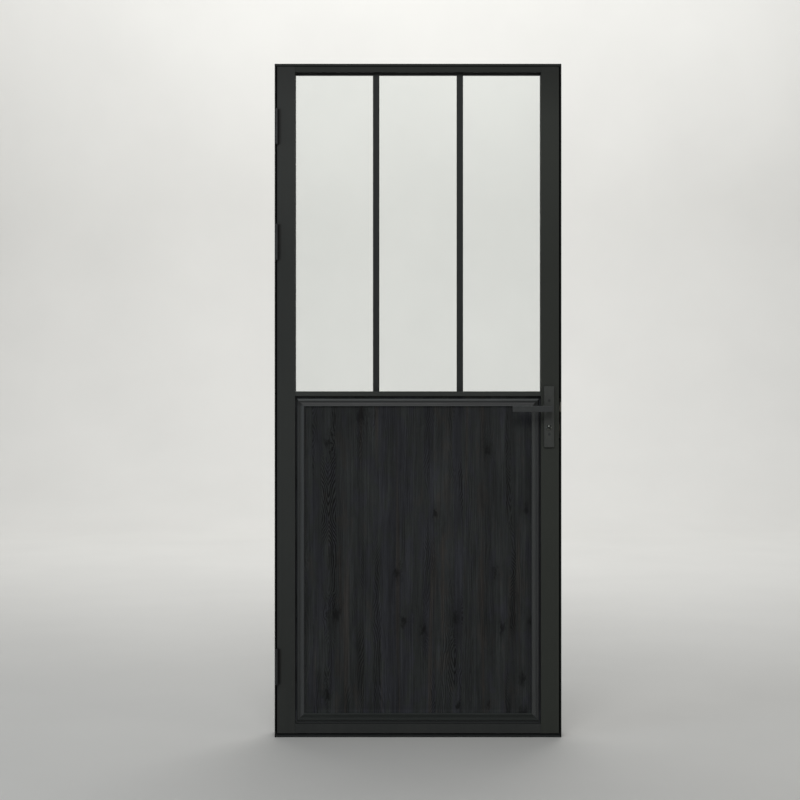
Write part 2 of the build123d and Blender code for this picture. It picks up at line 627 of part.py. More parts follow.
def rail_screw_holes(places):
    """The holes in both ends of a rail for the screws that hold it between the stiles."""
    for side in (-1, 1):
        for y, z in places:
            face = OPENING_SIDE if y < REBATE_FRONT else REBATE_SIDE
            tip = CAVITY_SIDE - RAIL_SCREW_LENGTH
            round_x((side * tip, side * face), y, z, RAIL_SCREW_RADIUS + SCREW_CLEARANCE)


def rail(piece, front_z, web_z, screws):
    """A rail with a front flange between the stiles and a narrower web behind it."""
    block((-OPENING_SIDE, OPENING_SIDE), (LEAF_FRONT, REBATE_FRONT), front_z)
    block((-REBATE_SIDE, REBATE_SIDE), (REBATE_FRONT, LEAF_BACK), web_z)
    rows = piece.edges().filter_by(Axis.X).group_by(Axis.Y)
    fillet(rows[0] + rows[-1], RAIL_EDGE_ROUND)
    rail_screw_holes(screws)


with BuildPart() as top_rail:
    rail(top_rail, (GLASS_OPENING_TOP, LEAF_TOP), (GLASS_REBATE_TOP, LEAF_TOP), TOP_RAIL_SCREWS)
save(top_rail, "top_rail")

with BuildPart() as mid_rail:
    rail(mid_rail, (PANEL_OPENING_TOP, GLASS_OPENING_BOTTOM), (WEB_BOTTOM, WEB_TOP), MID_RAIL_SCREWS)
save(mid_rail, "mid_rail")

with BuildPart() as bottom_rail:
    flange = (LEAF_BOTTOM, PANEL_OPENING_BOTTOM)
    rail(bottom_rail, flange, (LEAF_BOTTOM, PANEL_REBATE_BOTTOM), BOTTOM_RAIL_SCREWS)
save(bottom_rail, "bottom_rail")

with BuildPart() as rail_screws:
    for side in (-1, 1):
        for y, z in RAIL_SCREW_PLACES:
            shank = (side * CAVITY_SIDE, side * (CAVITY_SIDE - RAIL_SCREW_LENGTH))
            head = (side * CAVITY_SIDE, side * (CAVITY_SIDE + RAIL_SCREW_HEAD_HEIGHT))
            round_x(shank, y, z, RAIL_SCREW_RADIUS, Mode.ADD)
            round_x(head, y, z, RAIL_SCREW_HEAD_RADIUS, Mode.ADD)
save(rail_screws, "rail_fixing_screws")


# Glazing

GLASS_FRONT = -GLASS_THICKNESS / 2
GLASS_BACK = GLASS_THICKNESS / 2
BEAD_FRONT = -REBATE_FRONT
GLASS_SIDE = REBATE_SIDE - GLASS_EDGE_CLEARANCE
GLASS_TOP = GLASS_REBATE_TOP - GLASS_EDGE_CLEARANCE
GLASS_BOTTOM = WEB_TOP + GLASS_EDGE_CLEARANCE

with BuildPart() as glass_pane:
    block((-GLASS_SIDE, GLASS_SIDE), (GLASS_FRONT, GLASS_BACK), (GLASS_BOTTOM, GLASS_TOP))
save(glass_pane, "glass_pane")

with BuildPart() as setting_blocks:
    for side in (-1, 1):
        middle = side * GLASS_SIDE / 2
        length = (middle - SETTING_BLOCK_LENGTH / 2, middle + SETTING_BLOCK_LENGTH / 2)
        block(length, (GLASS_FRONT, GLASS_BACK), (WEB_TOP, GLASS_BOTTOM))
save(setting_blocks, "setting_blocks")

with BuildPart() as gaskets:
    for y in ((REBATE_FRONT, GLASS_FRONT), (GLASS_BACK, BEAD_FRONT)):
        for side in (-1, 1):
            strip = (side * OPENING_SIDE, side * GLASS_SIDE)
            block(strip, y, (GLASS_OPENING_BOTTOM, GLASS_OPENING_TOP))
        for z in ((GLASS_BOTTOM, GLASS_OPENING_BOTTOM), (GLASS_OPENING_TOP, GLASS_TOP)):
            block((-GLASS_SIDE, GLASS_SIDE), y, z)
save(gaskets, "glazing_gaskets")


def arris(piece, axis, face, size):
    """Take off the long edges of one face: 0 for the front face, -1 for the back one."""
    chamfer(piece.edges().filter_by(axis).group_by(Axis.Y)[face], size)


for place, y, face in (("front", GLASS_FRONT, 0), ("back", GLASS_BACK, -1)):
    for side, name in ((-1, "left"), (1, "right")):
        with BuildPart() as bar:
            width = (side * BAR_CENTRE - BAR_WIDTH / 2, side * BAR_CENTRE + BAR_WIDTH / 2)
            depth = (y, y - BAR_DEPTH if place == "front" else y + BAR_DEPTH)
            block(width, depth, (GLASS_OPENING_BOTTOM, GLASS_OPENING_TOP))
            arris(bar, Axis.Z, face, BAR_BEVEL)
        save(bar, f"glazing_bar_{place}_{name}")

for z, name in (
    ((GLASS_OPENING_TOP, GLASS_REBATE_TOP), "top"),
    ((WEB_TOP, GLASS_OPENING_BOTTOM), "bottom"),
):
    with BuildPart() as bead:
        block((-REBATE_SIDE, REBATE_SIDE), (BEAD_FRONT, LEAF_BACK), z)
        arris(bead, Axis.X, -1, BEAD_CHAMFER)
    save(bead, f"glazing_bead_{name}")

for side, name in ((-1, "hinge_side"), (1, "lock_side")):
    with BuildPart() as bead:
        width = (side * OPENING_SIDE, side * REBATE_SIDE)
        block(width, (BEAD_FRONT, LEAF_BACK), (GLASS_OPENING_BOTTOM, GLASS_OPENING_TOP))
        arris(bead, Axis.Z, -1, BEAD_CHAMFER)
    save(bead, f"glazing_bead_{name}")


# Panel

FACE_SIDE = OPENING_SIDE - PANEL_CLEARANCE
FACE_Z = (PANEL_OPENING_BOTTOM + PANEL_CLEARANCE, PANEL_OPENING_TOP - PANEL_CLEARANCE)
BACK_SIDE = REBATE_SIDE - PANEL_EDGE_CLEARANCE
BACK_Z = (PANEL_REBATE_BOTTOM + PANEL_EDGE_CLEARANCE, WEB_BOTTOM - PANEL_EDGE_CLEARANCE)

with BuildPart() as panel_core:
    block((-FACE_SIDE, FACE_SIDE), (PANEL_FRONT + SKIN_THICKNESS, REBATE_FRONT), FACE_Z)
    block((-BACK_SIDE, BACK_SIDE), (REBATE_FRONT, PANEL_BACK - SKIN_THICKNESS), BACK_Z)
save(panel_core, "panel_core")

with BuildPart() as skin_front:
    block((-FACE_SIDE, FACE_SIDE), (PANEL_FRONT, PANEL_FRONT + SKIN_THICKNESS), FACE_Z)
save(skin_front, "panel_skin_front")

with BuildPart() as skin_back:
    block((-BACK_SIDE, BACK_SIDE), (PANEL_BACK - SKIN_THICKNESS, PANEL_BACK), BACK_Z)
save(skin_back, "panel_skin_back")


def moulding(corner, inwards, length):
    """A mitred length of moulding that starts at an outer corner, with its section turned inwards."""
    inwards = Vector(*inwards)
    along = inwards.cross(Vector(0, -1, 0))
    end = Vector(*corner) + along * length
    quirk = BEAD_WIDTH + QUIRK_WIDTH
    lip = quirk + COVE_WIDTH
    crest = lip + LIP_RISE_WIDTH
    edge = MOULDING_WIDTH - LIP_ROUND
    edge_height = LIP_HEIGHT - LIP_ROUND
    with BuildSketch(Plane(origin=corner, x_dir=inwards, z_dir=along)) as section:
        with BuildLine():
            Line((0, 0), (0, BEAD_FOOT))
            ThreePointArc((0, BEAD_FOOT), (BEAD_CROWN_AT, BEAD_CROWN), (BEAD_WIDTH, BEAD_INNER))
            Polyline((BEAD_WIDTH, BEAD_INNER), (BEAD_WIDTH, QUIRK_HEIGHT), (quirk, QUIRK_HEIGHT))
            TangentArc((quirk, QUIRK_HEIGHT), (lip, COVE_HEIGHT), tangent=(1, 0))
            Line((lip, COVE_HEIGHT), (crest, LIP_HEIGHT))
            Line((crest, LIP_HEIGHT), (edge, LIP_HEIGHT))
            TangentArc((edge, LIP_HEIGHT), (MOULDING_WIDTH, edge_height), tangent=(1, 0))
            Polyline((MOULDING_WIDTH, edge_height), (MOULDING_WIDTH, 0), (0, 0))
        make_face()
    extrude(section.sketch, amount=length)
    split(bisect_by=Plane(origin=corner, x_dir=(0, 1, 0), z_dir=along - inwards), keep=Keep.TOP)
    split(bisect_by=Plane(origin=end, x_dir=(0, 1, 0), z_dir=-along - inwards), keep=Keep.TOP)


MOULDING_SIDE = OPENING_SIDE - SIDE_GROOVE
MOULDING_BOTTOM = PANEL_OPENING_BOTTOM + END_GROOVE
MOULDING_TOP = PANEL_OPENING_TOP - END_GROOVE
MOULDING_HEIGHT = MOULDING_TOP - MOULDING_BOTTOM
for corner_x, corner_z, inwards, length, name in (
    (MOULDING_SIDE, MOULDING_TOP, (0, 0, -1), 2 * MOULDING_SIDE, "top"),
    (-MOULDING_SIDE, MOULDING_BOTTOM, (0, 0, 1), 2 * MOULDING_SIDE, "bottom"),
    (-MOULDING_SIDE, MOULDING_TOP, (1, 0, 0), MOULDING_HEIGHT, "hinge_side"),
    (MOULDING_SIDE, MOULDING_BOTTOM, (-1, 0, 0), MOULDING_HEIGHT, "lock_side"),
):
    with BuildPart() as trim:
        moulding((corner_x, PANEL_FRONT, corner_z), inwards, length)
    save(trim, f"panel_moulding_{name}")

BACK_BEAD_Y = (PANEL_BACK, PANEL_BACK + BACK_BEAD_THICKNESS)
BACK_BEAD_TOP = WEB_BOTTOM - BACK_BEAD_WIDTH
BACK_BEAD_BOTTOM = PANEL_REBATE_BOTTOM + BACK_BEAD_WIDTH
for z, name in (
    ((BACK_BEAD_TOP, WEB_BOTTOM), "top"),
    ((PANEL_REBATE_BOTTOM, BACK_BEAD_BOTTOM), "bottom"),
):
    with BuildPart() as bead:
        block((-REBATE_SIDE, REBATE_SIDE), BACK_BEAD_Y, z)
        arris(bead, Axis.X, -1, BEAD_CHAMFER)
    save(bead, f"panel_bead_{name}")

for side, name in ((-1, "hinge_side"), (1, "lock_side")):
    with BuildPart() as bead:
        width = (side * (REBATE_SIDE - BACK_BEAD_WIDTH), side * REBATE_SIDE)
        block(width, BACK_BEAD_Y, (BACK_BEAD_BOTTOM, BACK_BEAD_TOP))
        arris(bead, Axis.Z, -1, BEAD_CHAMFER)
    save(bead, f"panel_bead_{name}")


# Lock

with BuildPart() as lock_case:
    half = CASE_THICKNESS / 2
    high = CASE_HEIGHT / 2
    block((CASE_BACK, FOREND_FACE), (-half, half), (LOCK_MIDDLE - high, LOCK_MIDDLE + high))
    inner_y = half - CASE_WALL
    inner_z = high - CASE_WALL
    inside = (CASE_BACK + CASE_WALL, FOREND_FACE)
    block(inside, (-inner_y, inner_y), (LOCK_MIDDLE - inner_z, LOCK_MIDDLE + inner_z), Mode.SUBTRACT)
    round_y(SPINDLE_X, (-half, half), LEVER_HEIGHT, FOLLOWER_HUB + HUB_CLEARANCE)
    round_y(SPINDLE_X, (-half, half), TURN_HEIGHT, TURN_HUB + HUB_CLEARANCE)
save(lock_case, "lock_case")

with BuildPart() as forend:
    block((FOREND_FACE, LEAF_EDGE), forend_y, forend_z)
    bolt_holes((FOREND_FACE, LEAF_EDGE), BOLT_CLEARANCE)
    for z in FOREND_SCREW_HEIGHTS:
        seat = facing_x(LEAF_EDGE, 0, z, -1)
        clear_shank = FOREND_SCREW_RADIUS + SCREW_CLEARANCE
        clear_head = FOREND_SCREW_HEAD + SCREW_CLEARANCE
        countersunk(seat, clear_shank, clear_head, FOREND_THICKNESS, Mode.SUBTRACT)
save(forend, "lock_forend")

with BuildPart() as forend_screws:
    for z in FOREND_SCREW_HEIGHTS:
        countersunk(facing_x(LEAF_EDGE, 0, z, -1), FOREND_SCREW_RADIUS, FOREND_SCREW_HEAD, STILE_EDGE_WALL)
save(forend_screws, "forend_screws")

with BuildPart() as latch_bolt:
    latch_rear = LEAF_EDGE - LATCH_BODY
    latch_tip = LEAF_EDGE + BOLT_THROW
    half = LATCH_THICKNESS / 2
    with BuildSketch(Plane.XY.offset(LEVER_HEIGHT - LATCH_HEIGHT / 2)):
        with BuildLine():
            Polyline(
                (latch_rear, -half),
                (latch_tip, -half),
                (latch_tip, -half + LATCH_NOSE),
                (LEAF_EDGE, half),
                (latch_rear, half),
                close=True,
            )
        make_face()
    extrude(amount=LATCH_HEIGHT)
    fork_y = (FORK_INSET, FORK_INSET + FORK_THICKNESS)
    fork_x = (latch_rear + FORK_LAP - FORK_REACH, latch_rear + FORK_LAP)
    block(fork_x, fork_y, (LEVER_HEIGHT - FORK_WIDTH / 2, LEVER_HEIGHT + FORK_WIDTH / 2))
    slot_x = (fork_x[0], latch_rear - FORK_ROOT)
    block(slot_x, fork_y, (LEVER_HEIGHT - FORK_SLOT / 2, LEVER_HEIGHT + FORK_SLOT / 2), Mode.SUBTRACT)
save(latch_bolt, "latch_bolt")

with BuildPart() as dead_bolt:
    half = DEAD_BOLT_THICKNESS / 2
    high = DEAD_BOLT_HEIGHT / 2
    bolt_x = (LEAF_EDGE - DEAD_BOLT_LENGTH, LEAF_EDGE)
    block(bolt_x, (-half, half), (TURN_HEIGHT - high, TURN_HEIGHT + high))
save(dead_bolt, "dead_bolt")


def square_y(x, y, z, size, mode=Mode.ADD):
    """A square bar or hole along Y."""
    block((x - size / 2, x + size / 2), y, (z - size / 2, z + size / 2), mode)


with BuildPart() as follower:
    half = FOLLOWER_THICKNESS / 2
    round_y(SPINDLE_X, (-half, half), LEVER_HEIGHT, FOLLOWER_RADIUS, Mode.ADD)
    cam_x = (SPINDLE_X - CAM_WIDTH / 2, SPINDLE_X + CAM_WIDTH / 2)
    block(cam_x, (-half, half), (LEVER_HEIGHT, LEVER_HEIGHT + CAM_REACH))
    round_y(SPINDLE_X, (-HUB_REACH, HUB_REACH), LEVER_HEIGHT, FOLLOWER_HUB, Mode.ADD)
    hole = SPINDLE_SIZE + 2 * SPINDLE_CLEARANCE
    square_y(SPINDLE_X, (-HUB_REACH, HUB_REACH), LEVER_HEIGHT, hole, Mode.SUBTRACT)
save(follower, "lock_follower")

with BuildPart() as spindle:
    square_y(SPINDLE_X, (-SPINDLE_LENGTH / 2, SPINDLE_LENGTH / 2), LEVER_HEIGHT, SPINDLE_SIZE)
save(spindle, "lever_spindle")

with BuildPart() as turn_spindle:
    half = FOLLOWER_THICKNESS / 2
    round_y(SPINDLE_X, (-half, half), TURN_HEIGHT, TURN_DISC, Mode.ADD)
    round_y(SPINDLE_X, (-HUB_REACH, HUB_REACH), TURN_HEIGHT, TURN_HUB, Mode.ADD)
    square_y(SPINDLE_X, (-TURN_SPINDLE_LENGTH / 2, TURN_SPINDLE_LENGTH / 2), TURN_HEIGHT, TURN_SPINDLE_SIZE)
save(turn_spindle, "turn_spindle")


# Handles


def outer_edges(piece, side):
    """The edges of the face that lies furthest out on the given side."""
    return piece.edges().group_by(Axis.Y)[0 if side < 0 else -1]


for side, name in ((-1, "front"), (1, "back")):
    with BuildPart() as plate:
        plate_y = outwards(side, 0, PLATE_THICKNESS)
        plate_x = (SPINDLE_X - PLATE_WIDTH / 2, SPINDLE_X + PLATE_WIDTH / 2)
        block(plate_x, plate_y, (PLATE_TOP - PLATE_HEIGHT, PLATE_TOP))
        fillet(plate.edges().filter_by(Axis.Y), PLATE_CORNER)
        chamfer(outer_edges(plate, side), PLATE_EDGE)
        round_y(SPINDLE_X, plate_y, LEVER_HEIGHT, NECK_RADIUS + NECK_CLEARANCE)
        round_y(SPINDLE_X, plate_y, TURN_HEIGHT, TURN_RADIUS + NECK_CLEARANCE)
        for z in PLATE_SCREW_HEIGHTS:
            seat = Plane(origin=(SPINDLE_X, plate_y[1], z), x_dir=(1, 0, 0), z_dir=(0, -side, 0))
            clear_shank = PLATE_SCREW_RADIUS + SCREW_CLEARANCE
            clear_head = PLATE_SCREW_HEAD + SCREW_CLEARANCE
            countersunk(seat, clear_shank, clear_head, PLATE_THICKNESS, Mode.SUBTRACT)
    save(plate, f"handle_plate_{name}")

with BuildPart() as plate_screws:
    for side in (-1, 1):
        for z in PLATE_SCREW_HEIGHTS:
            face = side * (LEAF_BACK + PLATE_THICKNESS)
            seat = Plane(origin=(SPINDLE_X, face, z), x_dir=(1, 0, 0), z_dir=(0, -side, 0))
            countersunk(seat, PLATE_SCREW_RADIUS, PLATE_SCREW_HEAD, PLATE_THICKNESS + STILE_WALL)
save(plate_screws, "handle_plate_screws")

for side, name in ((-1, "front"), (1, "back")):
    with BuildPart() as lever:
        bar_y = outwards(side, LEVER_PROJECTION - LEVER_THICKNESS, LEVER_PROJECTION)
        bar_x = (SPINDLE_X - LEVER_LENGTH, SPINDLE_X + LEVER_HEEL)
        block(bar_x, bar_y, (LEVER_HEIGHT - LEVER_WIDTH / 2, LEVER_HEIGHT + LEVER_WIDTH / 2))
        fillet(lever.edges(), LEVER_EDGE)
        neck_y = outwards(side, NECK_INNER_GAP, LEVER_PROJECTION - LEVER_THICKNESS / 2)
        round_y(SPINDLE_X, neck_y, LEVER_HEIGHT, NECK_RADIUS, Mode.ADD)
        socket_y = (neck_y[0], side * (SPINDLE_LENGTH / 2 + SOCKET_REACH))
        hole = SPINDLE_SIZE + 2 * SPINDLE_CLEARANCE
        square_y(SPINDLE_X, socket_y, LEVER_HEIGHT, hole, Mode.SUBTRACT)
    save(lever, f"lever_{name}")

for side, name in ((-1, "front"), (1, "back")):
    with BuildPart() as turn:
        disc_y = outwards(side, NECK_INNER_GAP, PLATE_THICKNESS + TURN_PROJECTION)
        round_y(SPINDLE_X, disc_y, TURN_HEIGHT, TURN_RADIUS, Mode.ADD)
        chamfer(outer_edges(turn, side), TURN_EDGE)
        if name == "front":
            slot_middle = (SPINDLE_X, disc_y[1] + COIN_SLOT_DEPTH, TURN_HEIGHT)
            with BuildSketch(Plane(origin=slot_middle, x_dir=(1, 0, 0), z_dir=(0, -1, 0))):
                with Locations(Rotation(0, 0, -COIN_SLOT_ANGLE)):
                    SlotOverall(COIN_SLOT_LENGTH, COIN_SLOT_WIDTH)
            extrude(amount=COIN_SLOT_DEPTH, mode=Mode.SUBTRACT)
        else:
            wing_y = (disc_y[1] - TURN_EDGE, disc_y[1] + WING_REACH)
            wing_x = (SPINDLE_X - WING_WIDTH / 2, SPINDLE_X + WING_WIDTH / 2)
            block(wing_x, wing_y, (TURN_HEIGHT - WING_LENGTH / 2, TURN_HEIGHT + WING_LENGTH / 2))
            fillet(outer_edges(turn, side), WING_ROUND)
        socket_y = (disc_y[0], side * (TURN_SPINDLE_LENGTH / 2 + SOCKET_REACH))
        hole = TURN_SPINDLE_SIZE + 2 * SPINDLE_CLEARANCE
        square_y(SPINDLE_X, socket_y, TURN_HEIGHT, hole, Mode.SUBTRACT)
    save(turn, f"turn_{name}")
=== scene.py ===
import json
import math

import bmesh
import bpy
from mathutils import Matrix, Vector


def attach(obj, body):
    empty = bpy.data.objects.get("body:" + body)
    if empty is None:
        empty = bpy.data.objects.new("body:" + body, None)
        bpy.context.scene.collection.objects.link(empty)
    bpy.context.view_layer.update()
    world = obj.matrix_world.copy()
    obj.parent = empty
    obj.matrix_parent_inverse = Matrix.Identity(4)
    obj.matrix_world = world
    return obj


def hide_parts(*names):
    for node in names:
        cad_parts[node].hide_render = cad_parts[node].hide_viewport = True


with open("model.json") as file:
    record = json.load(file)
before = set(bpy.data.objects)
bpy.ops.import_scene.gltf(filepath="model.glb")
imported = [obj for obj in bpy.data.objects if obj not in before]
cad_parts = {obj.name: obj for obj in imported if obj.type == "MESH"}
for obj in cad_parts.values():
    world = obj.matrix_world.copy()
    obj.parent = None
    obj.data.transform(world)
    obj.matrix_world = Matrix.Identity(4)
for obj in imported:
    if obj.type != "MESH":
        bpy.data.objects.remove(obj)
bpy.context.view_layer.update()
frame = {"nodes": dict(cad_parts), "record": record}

# Looks for a half-glazed door in its frame, in metres.
# X runs to the right seen from the front, Y to the back, Z up.

# Places shared with the solids

SPINDLE_X = 0.389
HINGE_X = -0.4195
HINGE_CENTRES = (0.210, 1.472, 1.815)
HINGE_HALF_LENGTH = 0.051
FRAME_FACE = -0.0195
MOULDING_SIDE = 0.3603
MOULDING_TOP = 1.006
MOULDING_BOTTOM = 0.048
MOULDING_WIDTH = 0.0225
PANEL_TOP = MOULDING_TOP - MOULDING_WIDTH
PANEL_BOTTOM = MOULDING_BOTTOM + MOULDING_WIDTH


# Node helpers


def linear(*srgb):
    """A colour from its 0 to 255 display values."""
    values = [c / 255 for c in srgb]
    return tuple(c / 12.92 if c < 0.04045 else ((c + 0.055) / 1.055) ** 2.4 for c in values) + (1.0,)


def shade(colour, factor):
    """A fixed colour made paler or darker by a factor."""
    return tuple(c * factor for c in colour[:3]) + (1,)


def material(name):
    """An empty material with its shader joined to its output."""
    made = bpy.data.materials.new(name)
    made.use_nodes = True
    tree = made.node_tree
    tree.nodes.clear()
    output = tree.nodes.new("ShaderNodeOutputMaterial")
    shader = tree.nodes.new("ShaderNodeBsdfPrincipled")
    tree.links.new(shader.outputs[0], output.inputs[0])
    return made, tree, shader


def add(tree, kind, inputs=None, **settings):
    """A node with its settings, and its inputs either set or linked."""
    made = tree.nodes.new("ShaderNode" + kind)
    for key, value in settings.items():
        setattr(made, key, value)
    for key, value in (inputs or {}).items():
        if isinstance(value, bpy.types.NodeSocket):
            tree.links.new(value, made.inputs[key])
        else:
            made.inputs[key].default_value = value
    return made


def connect(tree, shader, **values):
    """Sets or links the shader's inputs by name, with _ for a space."""
    for key, value in values.items():
        socket = shader.inputs[key.replace("_", " ")]
        if isinstance(value, bpy.types.NodeSocket):
            tree.links.new(value, socket)
        else:
            socket.default_value = value


def maths(tree, operation, *values):
    """The result of one sum."""
    return add(tree, "Math", dict(enumerate(values)), operation=operation).outputs[0]


def product(tree, *factors):
    """All the factors multiplied."""
    total = factors[0]
    for factor in factors[1:]:
        total = maths(tree, "MULTIPLY", total, factor)
    return total


def less(tree, amount, share):
    """The factor that takes away a share where the amount is 1, and nothing where it is 0."""
    return maths(tree, "SUBTRACT", 1.0, maths(tree, "MULTIPLY", amount, share))


def spread(tree, value, low, high, to_low, to_high):
    """The value carried from one range to another, and held there."""
    inputs = {0: value, 1: low, 2: high, 3: to_low, 4: to_high}
    return add(tree, "MapRange", inputs).outputs[0]


def ramp(tree, value, stops):
    """A colour or grey for each value: the stops are pairs of position and colour."""
    made = add(tree, "ValToRGB", {0: value})
    elements = made.color_ramp.elements
    while len(elements) < len(stops):
        elements.new(0.5)
    for element, (position, colour) in zip(elements, stops):
        element.position = position
        element.color = colour if isinstance(colour, tuple) else (colour, colour, colour, 1)
    return made.outputs[0]


# A ramp holds nothing above 1, so the tones go through it divided by this
TONE_TOP = 4.0


def toned(tree, where, tones):
    """A factor for each place: the tones are pairs of a place and a factor."""
    stops = [(at, factor / TONE_TOP) for at, factor in tones]
    return maths(tree, "MULTIPLY", ramp(tree, where, stops), TONE_TOP)


def coordinates(tree, scale=(1, 1, 1), offset=(0, 0, 0)):
    """Object coordinates, scaled and moved on each axis."""
    place = add(tree, "TexCoord").outputs["Object"]
    return add(tree, "Mapping", {"Vector": place, "Scale": scale, "Location": offset}).outputs[0]


def axes(tree, offset=(0, 0, 0)):
    """The X, Y and Z of Object coordinates, which on this model are places in the door's own frame."""
    return add(tree, "SeparateXYZ", {0: coordinates(tree, offset=offset)}).outputs


def noise(tree, vector, scale=1.0, detail=3.0, roughness=0.55, distortion=0.0):
    """A cloud of values round one half."""
    inputs = {"Vector": vector, "Scale": scale, "Detail": detail, "Roughness": roughness}
    return add(tree, "TexNoise", inputs | {"Distortion": distortion}).outputs[0]


def mixed(tree, amount, first, second):
    """The first colour where the amount is 0 and the second where it is 1."""
    return add(tree, "MixRGB", {0: amount, 1: first, 2: second}).outputs[0]


def scaled(tree, colour, value):
    """A colour made paler or darker by a factor that may change over the surface."""
    vector = colour if isinstance(colour, bpy.types.NodeSocket) else colour[:3]
    return add(tree, "VectorMath", {0: vector, 3: value}, operation="SCALE").outputs[0]


def painted_light_by_slope(tree, under, over=1.0):
    """A factor of painted light and shade by slope: one on upright faces, with its own values on faces that
    look half down and half up.
    """
    upwards = add(tree, "SeparateXYZ", {0: add(tree, "NewGeometry").outputs["Normal"]}).outputs[2]
    below = spread(tree, upwards, -0.5, 0.0, under, 1.0)
    return maths(tree, "MULTIPLY", below, spread(tree, upwards, 0.0, 0.5, 1.0, over))


def bump(tree, height, strength, distance, normal=None):
    """A relief of the given depth in metres."""
    inputs = {"Height": height, "Strength": strength, "Distance": distance}
    if normal is not None:
        inputs["Normal"] = normal
    return add(tree, "Bump", inputs).outputs[0]


# Powder coat

DUST = linear(92, 90, 84)
DUST_TOP = 0.45
# Where the painted shadow beside the hinges starts, ends and fades out
HINGE_SHADOW_START = -0.4125
HINGE_SHADOW_END = -0.4055
HINGE_SHADOW_FADE = 0.004
NOSE_SHADE_FADE = 0.001

# A ramp takes places from 0 to 1, so the heights go through it divided by this
TONES_HEIGHT = 2.0


def powder_coat(name, colour, roughness, specular, nose_shade=None, under=0.4, painted_hinge_shade=False, tones=None):
    """A fine matt coat with a slight orange peel, cloudy wear and rain marks that run down, and a factor of
    painted light on faces that look down, below one by default, which is painted shade. Where wanted, it has
    painted shade on the front of the frame, a painted shadow beside the hinges, and painted light and shade
    by height."""
    made, tree, shader = material(name)
    place = axes(tree)
    cloud = noise(tree, coordinates(tree, (2.2, 2.2, 1.4)), detail=5)
    mottle = noise(tree, coordinates(tree, (260, 260, 260)), detail=2)
    runs = noise(tree, coordinates(tree, (55, 55, 1.1), (3, 1, 0)), detail=4)
    low = spread(tree, place[2], 0.0, DUST_TOP, 1.0, 0.0)
    dust = maths(tree, "MULTIPLY", low, spread(tree, runs, 0.42, 0.75, 0.0, 0.5))

    pale = shade(colour, 1.15)
    base = ramp(tree, cloud, ((0.3, shade(colour, 0.86)), (0.7, pale)))
    base = mixed(tree, spread(tree, mottle, 0.35, 0.7, 0.0, 0.16), base, pale)
    base = mixed(tree, maths(tree, "MULTIPLY", dust, 0.12), base, DUST)
    # Painted shade: the front of the frame takes a near-black colour, as if in shade
    if nose_shade:
        base = mixed(tree, spread(tree, place[1], FRAME_FACE - NOSE_SHADE_FADE, FRAME_FACE, 1.0, 0.0), base, nose_shade)
    # Painted shadow beside the hinge knuckles
    if painted_hinge_shade:
        base = scaled(tree, base, painted_shadow_beside_hinges(tree))
    # Painted light and shade by height: painted shade halfway up the glass and under the head
    if tones:
        shares = [(height / TONES_HEIGHT, factor) for height, factor in tones]
        base = scaled(tree, base, toned(tree, maths(tree, "DIVIDE", place[2], TONES_HEIGHT), shares))
    # Painted light and shade by slope, on faces that look down
    base = scaled(tree, base, painted_light_by_slope(tree, under))

    worn = spread(tree, cloud, 0.3, 0.7, roughness - 0.05, roughness + 0.05)
    shine = maths(tree, "ADD", worn, maths(tree, "MULTIPLY", dust, 0.15))
    peel = bump(tree, noise(tree, coordinates(tree), 330, 2), 0.12, 0.0002)
    surface = bump(tree, noise(tree, coordinates(tree), 1500, 2), 0.18, 0.00008, peel)
    connect(tree, shader, Base_Color=base, Roughness=shine, Normal=surface, Specular_IOR_Level=specular)
    return made


def painted_shadow_beside_hinges(tree):
    """A factor that falls in a narrow strip of painted shadow beside the knuckles of each hinge, where they
    shade the stile.
    """
    place = axes(tree)
    near = 0.0
    for centre in HINGE_CENTRES:
        away = maths(tree, "ABSOLUTE", maths(tree, "SUBTRACT", place[2], centre))
        level = spread(tree, away, HINGE_HALF_LENGTH, HINGE_HALF_LENGTH + HINGE_SHADOW_FADE, 1.0, 0.0)
        near = maths(tree, "ADD", near, level)
    strip = maths(tree, "MULTIPLY", near, spread(tree, place[0], HINGE_SHADOW_START, HINGE_SHADOW_END, 0.85, 0.0))
    return maths(tree, "SUBTRACT", 1.0, strip)


# Stained oak, in narrow upright staves

STAVE_WIDTH = 0.03
STAVE_SEED = 400.0
RING_SPACING = 0.0062
LATE_WOOD = ((0.0, 0.0), (0.3, 0.15), (0.6, 1.0), (0.8, 1.0), (1.0, 0.0))
OAK_TINTS = (
    (0.0, linear(37.5, 38.5, 43)),
    (0.3, linear(37.5, 38.5, 42)),
    (0.52, linear(37, 39.5, 38.5)),
    (0.7, linear(38, 40, 41)),
    (0.95, linear(41, 40.5, 39.5)),
)
OAK_STREAK = linear(48, 44, 41)
# The paler colour of the groove under the bottom moulding: painted light
GROOVE_PAINTED_LIGHT = linear(56, 58, 58)
BOTTOM_EDGE_FADE = 0.014
TOP_EDGE_FADE = 0.007
GROOVE_FADE = 0.001


def grain(tree, face, scales, detail=3.0, roughness=0.55):
    """Noise over a face, given as its places across and along, with a scale for each."""
    across, along = (maths(tree, "MULTIPLY", place, scale) for place, scale in zip(face, scales))
    return noise(tree, add(tree, "CombineXYZ", {0: across, 2: along}).outputs[0], 1.0, detail, roughness)


def oak_staves(tree, face):
    """The staves, with slightly wavy joints: the chances and the middle of each, and the distance from it."""
    wavy = maths(tree, "MULTIPLY_ADD", grain(tree, face, (12.0, 3.0)), 0.022, face[0])
    stave = add(tree, "TexVoronoi", {"W": wavy, "Scale": 1 / STAVE_WIDTH}, voronoi_dimensions="1D")
    chance = add(tree, "SeparateColor", {0: stave.outputs["Color"]}).outputs
    middle = stave.outputs["W"]
    return chance, middle, maths(tree, "SUBTRACT", wavy, middle)


